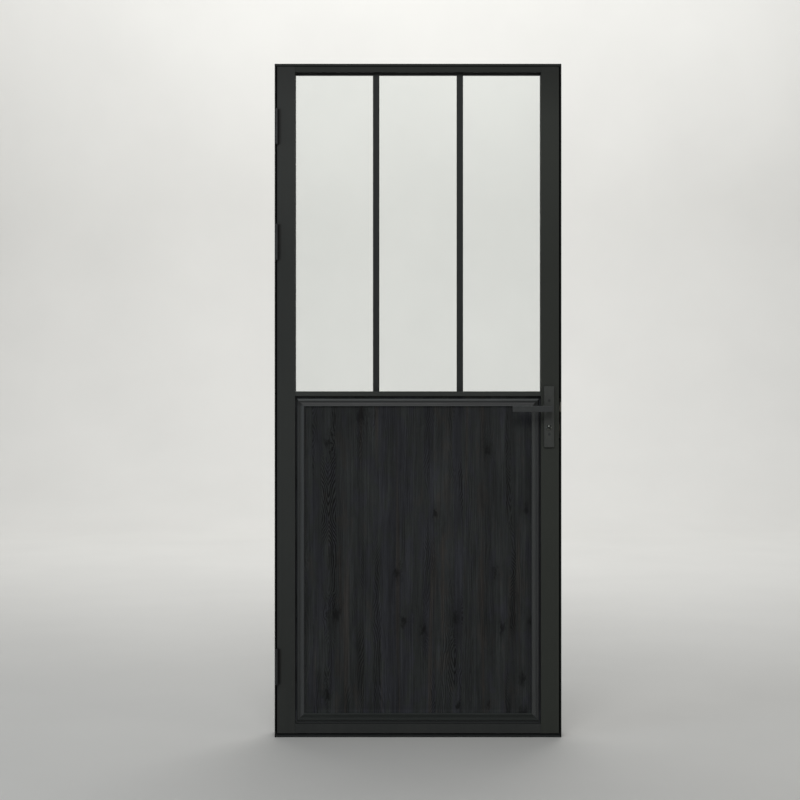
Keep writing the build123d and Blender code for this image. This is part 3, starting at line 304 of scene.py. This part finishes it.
def oak_knots(tree, face):
    """Scattered knots: the dark heart of each and the softer shadow round it, from 0 to 1."""
    ragged = maths(tree, "SUBTRACT", grain(tree, face, (110, 48), detail=5, roughness=0.65), 0.5)
    across = maths(tree, "MULTIPLY_ADD", face[0], 10.5, 0.37)
    along = maths(tree, "MULTIPLY_ADD", face[1], 5.4, 0.61)
    scatter = add(tree, "CombineXYZ", {0: across, 1: along}).outputs[0]
    knots = add(tree, "TexVoronoi", {"Vector": scatter, "Scale": 1.0}, voronoi_dimensions="2D")
    chance = add(tree, "SeparateColor", {0: knots.outputs["Color"]}).outputs
    away = maths(tree, "ADD", knots.outputs["Distance"], maths(tree, "MULTIPLY", ragged, 0.42))
    away = maths(tree, "DIVIDE", away, spread(tree, chance[1], 0, 1, 0.5, 1.5))
    picked = maths(tree, "GREATER_THAN", chance[0], 0.5)
    heart = maths(tree, "MULTIPLY", picked, spread(tree, away, 0.03, 0.13, 1.0, 0.0))
    shadow = maths(tree, "MULTIPLY", picked, spread(tree, away, 0.0, 0.36, 1.0, 0.0))
    return heart, shadow


def oak_rings(tree, face, chance, middle, aside, shadow):
    """The late wood of the rings and its strength: nested points in the flat-sawn staves, nearly straight
    lines in the others, and a bend round each knot."""
    own = (middle, face[1])
    flat = spread(tree, chance[1], 0.52, 0.72, 0.0, 1.0)
    steepness = maths(tree, "MULTIPLY_ADD", flat, 0.27, 0.03)
    climb = maths(tree, "MULTIPLY", grain(tree, own, (STAVE_SEED, 3.3), detail=2), steepness)
    wander = maths(tree, "MULTIPLY", maths(tree, "SUBTRACT", grain(tree, own, (STAVE_SEED, 7)), 0.5), 0.012)
    aside = maths(tree, "ADD", maths(tree, "ADD", aside, wander), spread(tree, flat, 0, 1, 0.04, 0.0))
    reach = maths(tree, "SQRT", maths(tree, "MULTIPLY_ADD", aside, aside, 0.000003))
    reach = maths(tree, "ADD", maths(tree, "ADD", reach, climb), maths(tree, "MULTIPLY", shadow, 0.016))
    reach = maths(tree, "MULTIPLY_ADD", grain(tree, face, (48, 11)), 0.013, reach)
    late = ramp(tree, maths(tree, "FRACT", maths(tree, "DIVIDE", reach, RING_SPACING)), LATE_WOOD)
    patches = spread(tree, grain(tree, face, (22, 2.4)), 0.46, 0.6, 0.02, 1.0)
    return late, maths(tree, "MULTIPLY", patches, spread(tree, flat, 0.0, 1.0, 0.35, 1.05))


def oak_painted_light(tree, height):
    """A factor of painted light and shade near the mouldings: painted light along the panel's edges by the
    lips, painted shade behind the top moulding, and painted light that is paler low down and darker high up.
    """
    return product(
        tree,
        spread(tree, height, PANEL_BOTTOM, PANEL_BOTTOM + BOTTOM_EDGE_FADE, 1.6, 1.0),
        spread(tree, height, PANEL_TOP - TOP_EDGE_FADE, PANEL_TOP, 1.0, 2.2),
        spread(tree, height, PANEL_TOP, MOULDING_TOP, 1.0, 0.45),
        spread(tree, height, MOULDING_BOTTOM, MOULDING_TOP, 1.07, 0.87),
    )


def oak_tint(tree, face, chance):
    """Blue, green and brown greys that change from stave to stave and along them, with a few warm streaks."""
    of_stave = spread(tree, chance[0], 0.0, 1.0, 0.2, 0.8)
    along_stave = maths(tree, "SUBTRACT", grain(tree, face, (30, 12)), 0.5)
    hue = maths(tree, "MULTIPLY_ADD", along_stave, 2.4, of_stave)
    streak = spread(tree, grain(tree, face, (44, 1.2), detail=1), 0.62, 0.7, 0.0, 0.6)
    return mixed(tree, streak, ramp(tree, hue, OAK_TINTS), OAK_STREAK)


def stained_oak(name, shift=0.0):
    """Charcoal-stained oak with rings, knots, fibres, pores and a cloudy stain. A shift moves the pattern."""
    made, tree, shader = material(name)
    across, _, along = axes(tree, (shift, 0, shift))
    face = (across, along)
    chance, middle, aside = oak_staves(tree, face)
    heart, shadow = oak_knots(tree, face)
    late, strength = oak_rings(tree, face, chance, middle, aside, shadow)
    fibre = grain(tree, face, (330, 6), roughness=0.6)
    pores = spread(tree, grain(tree, face, (950, 34), detail=2), 0.58, 0.68, 0.0, 1.0)
    blots = spread(tree, grain(tree, face, (19, 9)), 0.58, 0.7, 0.0, 1.0)
    tone = product(
        tree,
        spread(tree, chance[2], 0.0, 1.0, 0.9, 1.2),
        spread(tree, grain(tree, face, (26, 3.4), detail=4), 0.3, 0.7, 0.77, 1.25),
        spread(tree, grain(tree, face, (8, 4.5)), 0.34, 0.66, 0.9, 1.12),
        spread(tree, grain(tree, face, (110, 5)), 0.3, 0.7, 0.76, 1.24),
        spread(tree, fibre, 0.3, 0.7, 0.7, 1.3),
        maths(tree, "MULTIPLY", less(tree, late, strength), 1.14),
        less(tree, pores, 0.25),
        less(tree, blots, 0.2),
        less(tree, shadow, 0.28),
        less(tree, heart, 0.7),
        # Painted light and shade near the mouldings and down the panel
        oak_painted_light(tree, along),
    )
    wood = scaled(tree, oak_tint(tree, face, chance), tone)
    # Below the bottom moulding the oak takes a paler colour: painted light in the groove
    in_groove = spread(tree, along, MOULDING_BOTTOM - GROOVE_FADE, MOULDING_BOTTOM, 1.0, 0.0)
    hollows = maths(tree, "MULTIPLY_ADD", late, 0.25, pores)
    relief = maths(tree, "SUBTRACT", maths(tree, "MULTIPLY", fibre, 0.4), hollows)
    connect(
        tree, shader,
        Base_Color=mixed(tree, in_groove, wood, GROOVE_PAINTED_LIGHT),
        Roughness=spread(tree, tone, 0.4, 1.6, 0.7, 0.52),
        Normal=bump(tree, relief, 0.3, 0.0003),
        Specular_IOR_Level=0.22,
    )
    return made


# Mouldings and beads in the same wood


def stained_trim(name, along, colour, tones=None, edge=None, over=1.35, specular=0.4, top_end_shade=1.0):
    """A smooth grey stain with a faint straight grain along one axis, with painted light and shade by slope.
    In a moulding, tones from its outer edge inwards paint highlights and shade across its profile, and the
    top end may have painted shade at its mitre."""
    made, tree, shader = material(name)
    stretched = (60, 60, 5) if along == "Z" else (5, 60, 60)
    bands = noise(tree, coordinates(tree, stretched), detail=4, roughness=0.6)
    fibre = noise(tree, coordinates(tree, tuple(c * 9 for c in stretched)))
    cloud = noise(tree, coordinates(tree, tuple(c / 12 for c in stretched)))
    tone = product(
        tree,
        spread(tree, bands, 0.3, 0.7, 0.9, 1.1),
        spread(tree, cloud, 0.3, 0.7, 0.9, 1.1),
        spread(tree, fibre, 0.3, 0.7, 0.92, 1.08),
        # Painted light and shade by slope, on faces that look up and down
        painted_light_by_slope(tree, 0.6, over),
    )
    if tones:
        place = axes(tree)
        outwards = maths(tree, "ABSOLUTE", place[0 if along == "Z" else 2])
        inwards = maths(tree, "ABSOLUTE", maths(tree, "SUBTRACT", outwards, edge))
        # Painted highlights and shade across the moulding, by tones from its outer edge inwards
        rubbed_and_painted_light = toned(tree, maths(tree, "DIVIDE", inwards, MOULDING_WIDTH), tones)
        # Painted shade at the top end of a side moulding, by its mitre
        mitre = spread(tree, place[2], PANEL_TOP - 0.002, PANEL_TOP + 0.006, 1.0, top_end_shade)
        tone = product(tree, tone, rubbed_and_painted_light, mitre)
    connect(
        tree, shader,
        Base_Color=scaled(tree, colour, tone),
        Roughness=spread(tree, bands, 0.3, 0.7, 0.4, 0.5),
        Normal=bump(tree, fibre, 0.2, 0.00012),
        Specular_IOR_Level=specular,
    )
    return made


# Glass, metal, rubber and board


def clear_glass(name):
    """Float glass with a faint green tint, the last traces of cleaning and a very slight waviness."""
    made, tree, shader = material(name)
    smears = noise(tree, coordinates(tree, (9, 1, 3)), detail=6, roughness=0.7, distortion=1.5)
    shine = spread(tree, smears, 0.5, 0.8, 0.0, 0.035)
    tint = ramp(tree, smears, ((0.3, (0.955, 0.975, 0.965, 1)), (0.8, (0.935, 0.955, 0.945, 1))))
    wave = bump(tree, noise(tree, coordinates(tree, (2, 1, 5)), detail=1), 0.04, 0.002)
    connect(tree, shader, Base_Color=tint, Roughness=shine, Normal=wave, IOR=1.5, Transmission_Weight=1.0)
    return made


def brushed_metal(name, colour, roughness, along):
    """Satin metal with fine brush lines along one axis."""
    made, tree, shader = material(name)
    scale = tuple(6 if axis == along else 900 for axis in "XYZ")
    lines = noise(tree, coordinates(tree, scale), detail=4)
    stain = noise(tree, coordinates(tree, (40, 40, 40)), detail=4)
    cloudy = maths(tree, "ADD", maths(tree, "MULTIPLY", lines, 0.6), maths(tree, "MULTIPLY", stain, 0.4))
    base = ramp(tree, cloudy, ((0.35, shade(colour, 0.82)), (0.65, shade(colour, 1.12))))
    shine = spread(tree, lines, 0.3, 0.7, roughness - 0.07, roughness + 0.08)
    surface = bump(tree, lines, 0.12, 0.00006)
    connect(tree, shader, Base_Color=base, Roughness=shine, Normal=surface, Metallic=1.0)
    return made


def dark_fitting(name, colour, roughness, painted_hinge_shade=False):
    """Dark lacquered metal, worn a little where hands touch it. A hinge has painted light and shade across
    its knuckle, painted shade on its inner side, and more painted shade low down."""
    made, tree, shader = material(name)
    rubbed_and_painted_light = noise(tree, coordinates(tree, (38, 38, 22)), detail=5, roughness=0.65)
    base = ramp(tree, rubbed_and_painted_light, ((0.3, shade(colour, 0.85)), (0.72, shade(colour, 1.25))))
    if painted_hinge_shade:
        # Painted light and shade across the hinge knuckle, with painted shade on its inner side and low down
        place = axes(tree)
        outer = spread(tree, place[0], HINGE_X - 0.004, HINGE_X, 0.6, 1.2)
        inner = spread(tree, place[0], HINGE_X + 0.001, HINGE_X + 0.0045, 1.0, 0.3)
        low = spread(tree, place[2], 0.3, 1.3, 0.6, 1.0)
        base = scaled(tree, base, product(tree, outer, inner, low))
    shine = spread(tree, rubbed_and_painted_light, 0.3, 0.72, roughness + 0.06, roughness - 0.06)
    surface = bump(tree, noise(tree, coordinates(tree), 1300, 2), 0.12, 0.00006)
    connect(tree, shader, Base_Color=base, Roughness=shine, Normal=surface, Specular_IOR_Level=0.5)
    return made


def soft_black(name, colour, roughness, scale):
    """Moulded rubber or plastic with a fine grain and a dusty bloom."""
    made, tree, shader = material(name)
    bloom = noise(tree, coordinates(tree, (25, 25, 9)), detail=5)
    base = ramp(tree, bloom, ((0.35, colour), (0.75, shade(colour, 1.7))))
    shine = spread(tree, bloom, 0.3, 0.7, roughness - 0.05, roughness + 0.07)
    surface = bump(tree, noise(tree, coordinates(tree), scale, 3), 0.2, 0.0001)
    connect(tree, shader, Base_Color=base, Roughness=shine, Normal=surface, Specular_IOR_Level=0.35)
    return made


def pressed_board(name):
    """Pale pressed wood board, seen only at its edges."""
    made, tree, shader = material(name)
    flakes = noise(tree, coordinates(tree, (160, 160, 160)), detail=5, roughness=0.7)
    base = ramp(tree, flakes, ((0.3, linear(132, 103, 72)), (0.7, linear(186, 158, 120))))
    shine = spread(tree, flakes, 0.3, 0.7, 0.75, 0.9)
    surface = bump(tree, flakes, 0.3, 0.0003)
    connect(tree, shader, Base_Color=base, Roughness=shine, Normal=surface)
    return made


# The finish of each material slot in the record

TRIM_GREY = linear(50, 52, 52)
FINISHES = {
    "leaf_coat": powder_coat("leaf_powder_coat", linear(47, 49, 48), 0.58, 0.25),
    # The frame coat is near black on its front: painted shade
    "frame_coat": powder_coat("frame_powder_coat", linear(34, 36, 34), 0.62, 0.2, nose_shade=linear(8, 9, 8)),
    "stained_oak": stained_oak("stained_oak"),
    "stained_trim": stained_trim("stained_trim_upright", "Z", TRIM_GREY),
    "core_board": pressed_board("core_board"),
    "clear_glass": clear_glass("clear_glass"),
    "black_rubber": soft_black("black_rubber", linear(19, 19, 19), 0.65, 900),
    "black_plastic": soft_black("black_plastic", linear(22, 22, 22), 0.5, 1500),
    "dark_fittings": dark_fitting("dark_fittings", linear(57, 59, 56), 0.42),
    "satin_steel": brushed_metal("satin_steel", linear(150, 146, 138), 0.36, "Z"),
    "plated_steel": brushed_metal("plated_steel", linear(170, 172, 170), 0.45, "Y"),
}

# Nodes that the photograph shows a little darker or paler than the rest of their slot, mostly as painted
# light and
# shade: lit and shaded copies of a coat or a stain, painted shade and shadow, and painted highlights.
# The tones of a moulding are pairs: a place from its outer edge, 0, to its inner edge, 1, and a factor of
# painted light and shade.
# Those of a stile are pairs of a height in metres and a factor of painted light and shade: painted shade
# halfway up its glass and under the head.

SIDE_TONES = ((0.0, 1.15), (0.22, 0.83), (0.4, 0.83), (0.53, 1.15), (0.67, 1.4), (0.8, 1.4), (0.93, 1.12))
HEAD_TONES = (
    (0.0, 3.0), (0.12, 1.45), (0.27, 1.5), (0.38, 0.82), (0.52, 0.56), (0.65, 0.3), (0.78, 0.45), (0.91, 1.3),
)
FOOT_TONES = (
    (0.0, 3.2), (0.08, 2.4), (0.15, 1.5), (0.28, 0.7), (0.41, 1.0), (0.54, 0.84), (0.67, 1.17), (0.81, 1.55),
    (0.94, 1.36),
)
HINGE_STILE_TONES = (
    (0.1, 1.0), (0.6, 1.09), (1.0, 1.0), (1.4, 0.86), (1.68, 1.1), (1.88, 1.02), (1.98, 0.72),
)
LOCK_STILE_TONES = (
    (0.1, 1.0), (0.6, 1.09), (1.0, 1.03), (1.4, 0.86), (1.72, 1.02), (1.84, 0.98), (1.98, 0.52),
)
# A darker copy of the leaf coat for the glazing bars, which are set back: painted shade
SHADED_BAR_COAT = powder_coat("bar_shaded_coat", linear(42, 44, 43), 0.6, 0.22)
BEAD_STAIN = stained_trim("stained_trim_level", "X", TRIM_GREY)
HINGE_FINISH = dark_fitting("hinge_lacquer", linear(33, 34, 36), 0.5, painted_hinge_shade=True)
LEVER_FINISH = dark_fitting("lever_lacquer", linear(52, 54, 54), 0.42)
STRIKE_FINISH = dark_fitting("strike_zinc", linear(98, 95, 86), 0.4)
OWN_FINISHES = {
    # Painted light: the head is paler on faces that look down, and lacks the near-black painted shade of the
    # jambs' front
    "frame_head": powder_coat("frame_head_lit_coat", linear(28, 30, 28), 0.6, 0.22, under=4.0),
    "threshold": powder_coat("threshold_coat", linear(38, 41, 41), 0.6, 0.25),
    # The stiles carry painted light and shade by height, and the hinge stile a painted shadow beside its
    # hinges
    "hinge_stile": powder_coat(
        "hinge_stile_coat", linear(47, 49, 47), 0.58, 0.25, painted_hinge_shade=True, tones=HINGE_STILE_TONES,
    ),
    "lock_stile": powder_coat(
        "lock_stile_coat", linear(47.5, 50, 45.5), 0.58, 0.25, tones=LOCK_STILE_TONES,
    ),
    # A darker copy of the leaf coat on the top rail: painted shade under the head
    "top_rail": powder_coat("top_rail_shaded_coat", linear(37, 39, 36), 0.6, 0.22),
    # A paler copy of the leaf coat on the mid rail: painted light
    "mid_rail": powder_coat("mid_rail_lit_coat", linear(52, 54, 52), 0.56, 0.3),
    "glazing_bar_front_left": SHADED_BAR_COAT,
    "glazing_bar_front_right": SHADED_BAR_COAT,
    # Painted highlights and shade across the head moulding, by its tones
    "panel_moulding_top": stained_trim("moulding_stain_head", "X", TRIM_GREY, HEAD_TONES, MOULDING_TOP),
    # The bottom moulding's own copy of the trim stain: painted shade on faces that look up, and painted light
    # in the groove at its outer edge
    "panel_moulding_bottom": stained_trim(
        "moulding_stain_foot_painted_light", "X", linear(52.5, 55.5, 54), FOOT_TONES, MOULDING_BOTTOM,
        over=0.9, specular=0.1,
    ),
    # Painted light and shade across the side mouldings, by their tones, with painted shade at the top end by
    # the mitre
    "panel_moulding_hinge_side": stained_trim(
        "moulding_stain_hinge_side", "Z", TRIM_GREY, SIDE_TONES, MOULDING_SIDE, top_end_shade=0.5,
    ),
    "panel_moulding_lock_side": stained_trim(
        "moulding_stain_lock_side", "Z", TRIM_GREY, SIDE_TONES, MOULDING_SIDE, top_end_shade=0.12,
    ),
    "panel_bead_top": BEAD_STAIN,
    "panel_bead_bottom": BEAD_STAIN,
    "panel_skin_back": stained_oak("stained_oak_back", shift=1.37),
    "hinge_frame_leaves": HINGE_FINISH,
    "hinge_door_leaves": HINGE_FINISH,
    "hinge_pins": HINGE_FINISH,
    "lever_front": LEVER_FINISH,
    "lever_back": LEVER_FINISH,
    "strike_plate": STRIKE_FINISH,
}


def dress(piece, finish):
    """Gives a piece one material in all its slots."""
    if not piece.material_slots:
        piece.data.materials.append(finish)
    for place in piece.material_slots:
        place.material = finish


for part in frame["record"]["subparts"]:
    node = part["node"]
    dress(frame["nodes"][node], OWN_FINISHES.get(node, FINISHES[part["material_slot"]]))


# Mesh helpers


def to_object(name, shape):
    """An object in the scene from a bmesh, which is freed."""
    mesh = bpy.data.meshes.new(name)
    shape.to_mesh(mesh)
    shape.free()
    made = bpy.data.objects.new(name, mesh)
    bpy.context.scene.collection.objects.link(made)
    return made


def prism(outline, length):
    """An upright prism on the XY plane, up to the given length."""
    shape = bmesh.new()
    face = shape.faces.new([shape.verts.new((x, y, 0)) for x, y in outline])
    raised = bmesh.ops.extrude_face_region(shape, geom=[face])
    moved = [g for g in raised["geom"] if isinstance(g, bmesh.types.BMVert)]
    bmesh.ops.translate(shape, verts=moved, vec=(0, 0, length))
    bmesh.ops.recalc_face_normals(shape, faces=shape.faces)
    return to_object("prism", shape)


def turned(profile, steps=36):
    """A turned solid about Z from pairs of radius and height."""
    shape = bmesh.new()
    rings = []
    for radius, height in profile:
        if radius == 0:
            rings.append([shape.verts.new((0, 0, height))])
        else:
            angles = [2 * math.pi * i / steps for i in range(steps)]
            circle = [(radius * math.cos(a), radius * math.sin(a), height) for a in angles]
            rings.append([shape.verts.new(place) for place in circle])
    for low, high in zip(rings, rings[1:]):
        for i in range(steps):
            j = i + 1
            corners = [low[i % len(low)], low[j % len(low)], high[j % len(high)], high[i % len(high)]]
            shape.faces.new(list(dict.fromkeys(corners)))
    bmesh.ops.recalc_face_normals(shape, faces=shape.faces)
    return to_object("turned", shape)


def recessed(body, outline, depth):
    """The mesh of a body with a recess of the given outline and depth in its face at Z = 0."""
    outside = 0.001
    cutter = prism(outline, outside + depth)
    cutter.location = (0, 0, -outside)
    cut = body.modifiers.new("recess", "BOOLEAN")
    cut.object = cutter
    cut.solver = "EXACT"
    bpy.context.view_layer.update()
    done = bpy.data.meshes.new_from_object(body.evaluated_get(bpy.context.evaluated_depsgraph_get()))
    bpy.data.objects.remove(body)
    bpy.data.objects.remove(cutter)
    return done


def copies(name, node, body, finish, mesh, places, spin=0.0, next_spin=0.0):
    """Copies of one mesh in one piece that stands for the node. Each place is a point and the direction
    inwards, and each copy is turned a little further than the one before."""
    shape = bmesh.new()
    for count, (point, inwards) in enumerate(places):
        one = mesh.copy()
        turn = Vector(inwards).to_track_quat("Z", "Y").to_matrix().to_4x4()
        one.transform(Matrix.Translation(point) @ turn @ Matrix.Rotation(spin + next_spin * count, 4, "Z"))
        shape.from_mesh(one)
        bpy.data.meshes.remove(one)
    piece = to_object(name, shape)
    dress(piece, finish)
    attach(piece, body)
    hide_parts(node)


# Screws with their drives

SCREW_LIP = 0.00015
SCREW_SPIN = 0.4
NEXT_SCREW_SPIN = 0.7
HINGE_SCREW_PLACES = ((-0.013, -0.037), (-0.013, 0.037), (0.001, -0.013), (0.001, 0.013))
SCREW_FINISH = dark_fitting("blackened_screws", linear(30, 31, 30), 0.5)
PLATE_SCREW_FINISH = dark_fitting("lacquered_screws", linear(38, 40, 39), 0.5)


def cross(reach, half_width):
    """The outline of a cross recess."""
    a, b = reach, half_width
    upper = ((a, -b), (a, b), (b, b), (b, a), (-b, a), (-b, b))
    return upper + tuple((-x, -y) for x, y in upper)


def hexagon(radius):
    """The outline of a socket for a key."""
    angles = [math.pi * i / 3 for i in range(6)]
    return tuple((radius * math.cos(a), radius * math.sin(a)) for a in angles)


def screw_mesh(radius, head_radius, length, drive, drive_depth):
    """One countersunk screw, with its head at the origin, its shank along +Z and its drive cut in."""
    body = turned((
        (0, 0),
        (head_radius - SCREW_LIP, 0),
        (head_radius, SCREW_LIP),
        (radius, head_radius - radius),
        (radius, length),
        (0, length),
    ))
    return recessed(body, drive, drive_depth)


def screws(name, node, body, finish, mesh, places):
    """Copies of one screw, each turned as far as it happened to stop."""
    copies(name, node, body, finish, mesh, places, SCREW_SPIN, NEXT_SCREW_SPIN)


plate_screw = screw_mesh(0.0024, 0.0042, 0.0105, hexagon(0.0017), 0.0018)
plate_places = [((SPINDLE_X, side * 0.030, z), (0, -side, 0)) for side in (-1, 1) for z in (1.0005, 0.9005)]
screws(
    "plate_screws_with_sockets", "handle_plate_screws", "leaf", PLATE_SCREW_FINISH,
    plate_screw, plate_places,
)

hinge_screw = screw_mesh(0.0025, 0.0044, 0.006, cross(0.0021, 0.0005), 0.0016)
for side, node, body in ((-1, "hinge_frame_screws", "frame"), (1, "hinge_door_screws", "leaf")):
    x = HINGE_X + side * 0.0005
    hinge_places = [
        ((x, y, middle + z), (side, 0, 0)) for middle in HINGE_CENTRES for y, z in HINGE_SCREW_PLACES
    ]
    screws(node + "_with_drives", node, body, SCREW_FINISH, hinge_screw, hinge_places)

forend_screw = screw_mesh(0.002, 0.0038, 0.006, cross(0.0018, 0.00045), 0.0014)
forend_places = [((0.419, 0, z), (-1, 0, 0)) for z in (0.8385, 1.0575)]
screws(
    "forend_screws_with_drives", "forend_screws", "leaf", FINISHES["satin_steel"],
    forend_screw, forend_places,
)

strike_screw = screw_mesh(0.002, 0.0034, 0.004, cross(0.0016, 0.00045), 0.0012)
strike_places = [((0.422, -0.0035, z), (1, 0, 0)) for z in (0.897, 0.999)]
screws(
    "strike_screws_with_drives", "strike_screws", "frame", STRIKE_FINISH,
    strike_screw, strike_places,
)


# The coin turn: a low dome with a slot across it, at 45 degrees

TURN_PLACE = (SPINDLE_X, -0.0335, 0.9195)
TURN_RADIUS = 0.0085
TURN_DEPTH = 0.0105
TURN_DOME = ((0, 0), (0.003, 0.00015), (0.0055, 0.0006), (0.0072, 0.0013), (TURN_RADIUS, 0.0023))
COIN_SLOT_CORNERS = ((-0.007, -0.0015), (0.007, -0.0015), (0.007, 0.0015), (-0.007, 0.0015))
COIN_SLOT_DEPTH = 0.0035

diagonal = math.sqrt(0.5)
coin_slot = [((x - y) * diagonal, (x + y) * diagonal) for x, y in COIN_SLOT_CORNERS]
copies(
    "coin_turn", "turn_front", "turn",
    brushed_metal("coin_turn_steel", linear(92, 94, 90), 0.2, "Z"),
    recessed(turned(TURN_DOME + ((TURN_RADIUS, TURN_DEPTH), (0, TURN_DEPTH))), coin_slot, COIN_SLOT_DEPTH),
    [(TURN_PLACE, (0, 1, 0))],
)


# A black seal between the top rail and the glass, at the top only: a dark strip put where the top rail casts
# its shade, painted shade

GLASS_FACE = 0.003
SEAL_TOP = 1.976
SEAL_PROFILE = ((0.0, 0.0), (0.0035, 0.0), (0.0035, -0.0015), (0.0012, -0.0062), (0.0, -0.0064))
SEAL_LENGTHS = ((-0.365, -0.1343), (-0.1153, 0.1153), (0.1343, 0.365))


def top_shade_seal(name, side):
    """A wedge of black rubber on one face of the glass, in the lengths that the bars leave, standing in for
    the shade under the top rail.
    """
    shape = bmesh.new()
    for start, end in SEAL_LENGTHS:
        left, right = (
            [shape.verts.new((x, side * (GLASS_FACE + y), SEAL_TOP + z)) for y, z in SEAL_PROFILE]
            for x in (start, end)
        )
        for i in range(len(SEAL_PROFILE)):
            j = (i + 1) % len(SEAL_PROFILE)
            shape.faces.new((left[i], left[j], right[j], right[i]))
        shape.faces.new(left)
        shape.faces.new(right)
    bmesh.ops.recalc_face_normals(shape, faces=shape.faces)
    piece = to_object(name, shape)
    dress(piece, FINISHES["black_rubber"])
    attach(piece, "leaf")


top_shade_seal("glass_top_shade_seal_front", -1)
top_shade_seal("glass_top_shade_seal_back", 1)


# Studio

WALL_Y = 9.0
DOOR_MIDDLE = (0, 0, 1.0)


def plaster(name, colour):
    """Pale matt paint with a soft unevenness."""
    made, tree, shader = material(name)
    cloud = noise(tree, coordinates(tree, (1.2, 1.2, 1.2)), detail=4)
    base = ramp(tree, cloud, ((0.3, shade(colour, 0.96)), (0.7, colour)))
    connect(tree, shader, Base_Color=base, Roughness=0.9)
    return made


def backdrop(front, back, half_width, height, radius, steps=16):
    """A floor that curves up into a back wall."""
    curve = [(front, 0.0), (back - radius, 0.0)]
    for i in range(1, steps + 1):
        angle = math.pi / 2 * i / steps
        curve.append((back - radius + radius * math.sin(angle), radius - radius * math.cos(angle)))
    curve.append((back, height))
    shape = bmesh.new()
    left, right = ([shape.verts.new((x, y, z)) for y, z in curve] for x in (-half_width, half_width))
    for i in range(len(curve) - 1):
        shape.faces.new((left[i], right[i], right[i + 1], left[i + 1])).smooth = True
    return to_object("studio_floor", shape)


floor = backdrop(front=-16.0, back=WALL_Y, half_width=14.0, height=8.0, radius=2.5)
dress(floor, plaster("studio_paint", linear(222, 221, 217)))


def area_light(name, place, aim, size, power, colour=(1, 1, 1)):
    """A soft rectangular light turned towards a point."""
    data = bpy.data.lights.new(name, "AREA")
    data.shape = "RECTANGLE"
    data.size, data.size_y = size
    data.energy = power
    data.color = colour
    lamp = bpy.data.objects.new(name, data)
    lamp.location = place
    lamp.rotation_euler = (Vector(aim) - Vector(place)).to_track_quat("-Z", "Y").to_euler()
    bpy.context.scene.collection.objects.link(lamp)


area_light("key_above", (-0.4, -4.2, 3.9), DOOR_MIDDLE, (2.6, 2.0), 84)
area_light("side_left", (-3.6, -2.2, 1.8), DOOR_MIDDLE, (1.6, 2.4), 19, (0.82, 0.92, 1.0))
area_light("side_right", (3.6, -2.2, 1.8), DOOR_MIDDLE, (1.6, 2.4), 14, (1.0, 0.98, 0.9))
area_light("wall_light", (0, 4.6, 6.5), (0, WALL_Y, 1.6), (9.0, 1.5), 420)
area_light("back_fill", (0.8, 3.4, 4.0), DOOR_MIDDLE, (2.6, 1.6), 34)

world = bpy.data.worlds.new("soft_grey")
world.use_nodes = True
background = world.node_tree.nodes["Background"]
background.inputs["Color"].default_value = (0.93, 0.96, 1.0, 1)
background.inputs["Strength"].default_value = 0.2
bpy.context.scene.world = world
bpy.context.scene.view_settings.view_transform = "Standard"


# The camera, square to the door as the photograph is

camera_data = bpy.data.cameras.new("camera")
camera_data.sensor_width = 36
camera_data.lens = 75.72
camera_data.shift_x = -0.0103
camera_data.shift_y = -0.0235
camera_data.clip_start = 0.02
camera = bpy.data.objects.new("camera", camera_data)
camera.location = (-0.0291, -5.022, 1.0583)
camera.rotation_euler = (math.pi / 2, 0, 0)
bpy.context.scene.collection.objects.link(camera)
bpy.context.scene.camera = camera
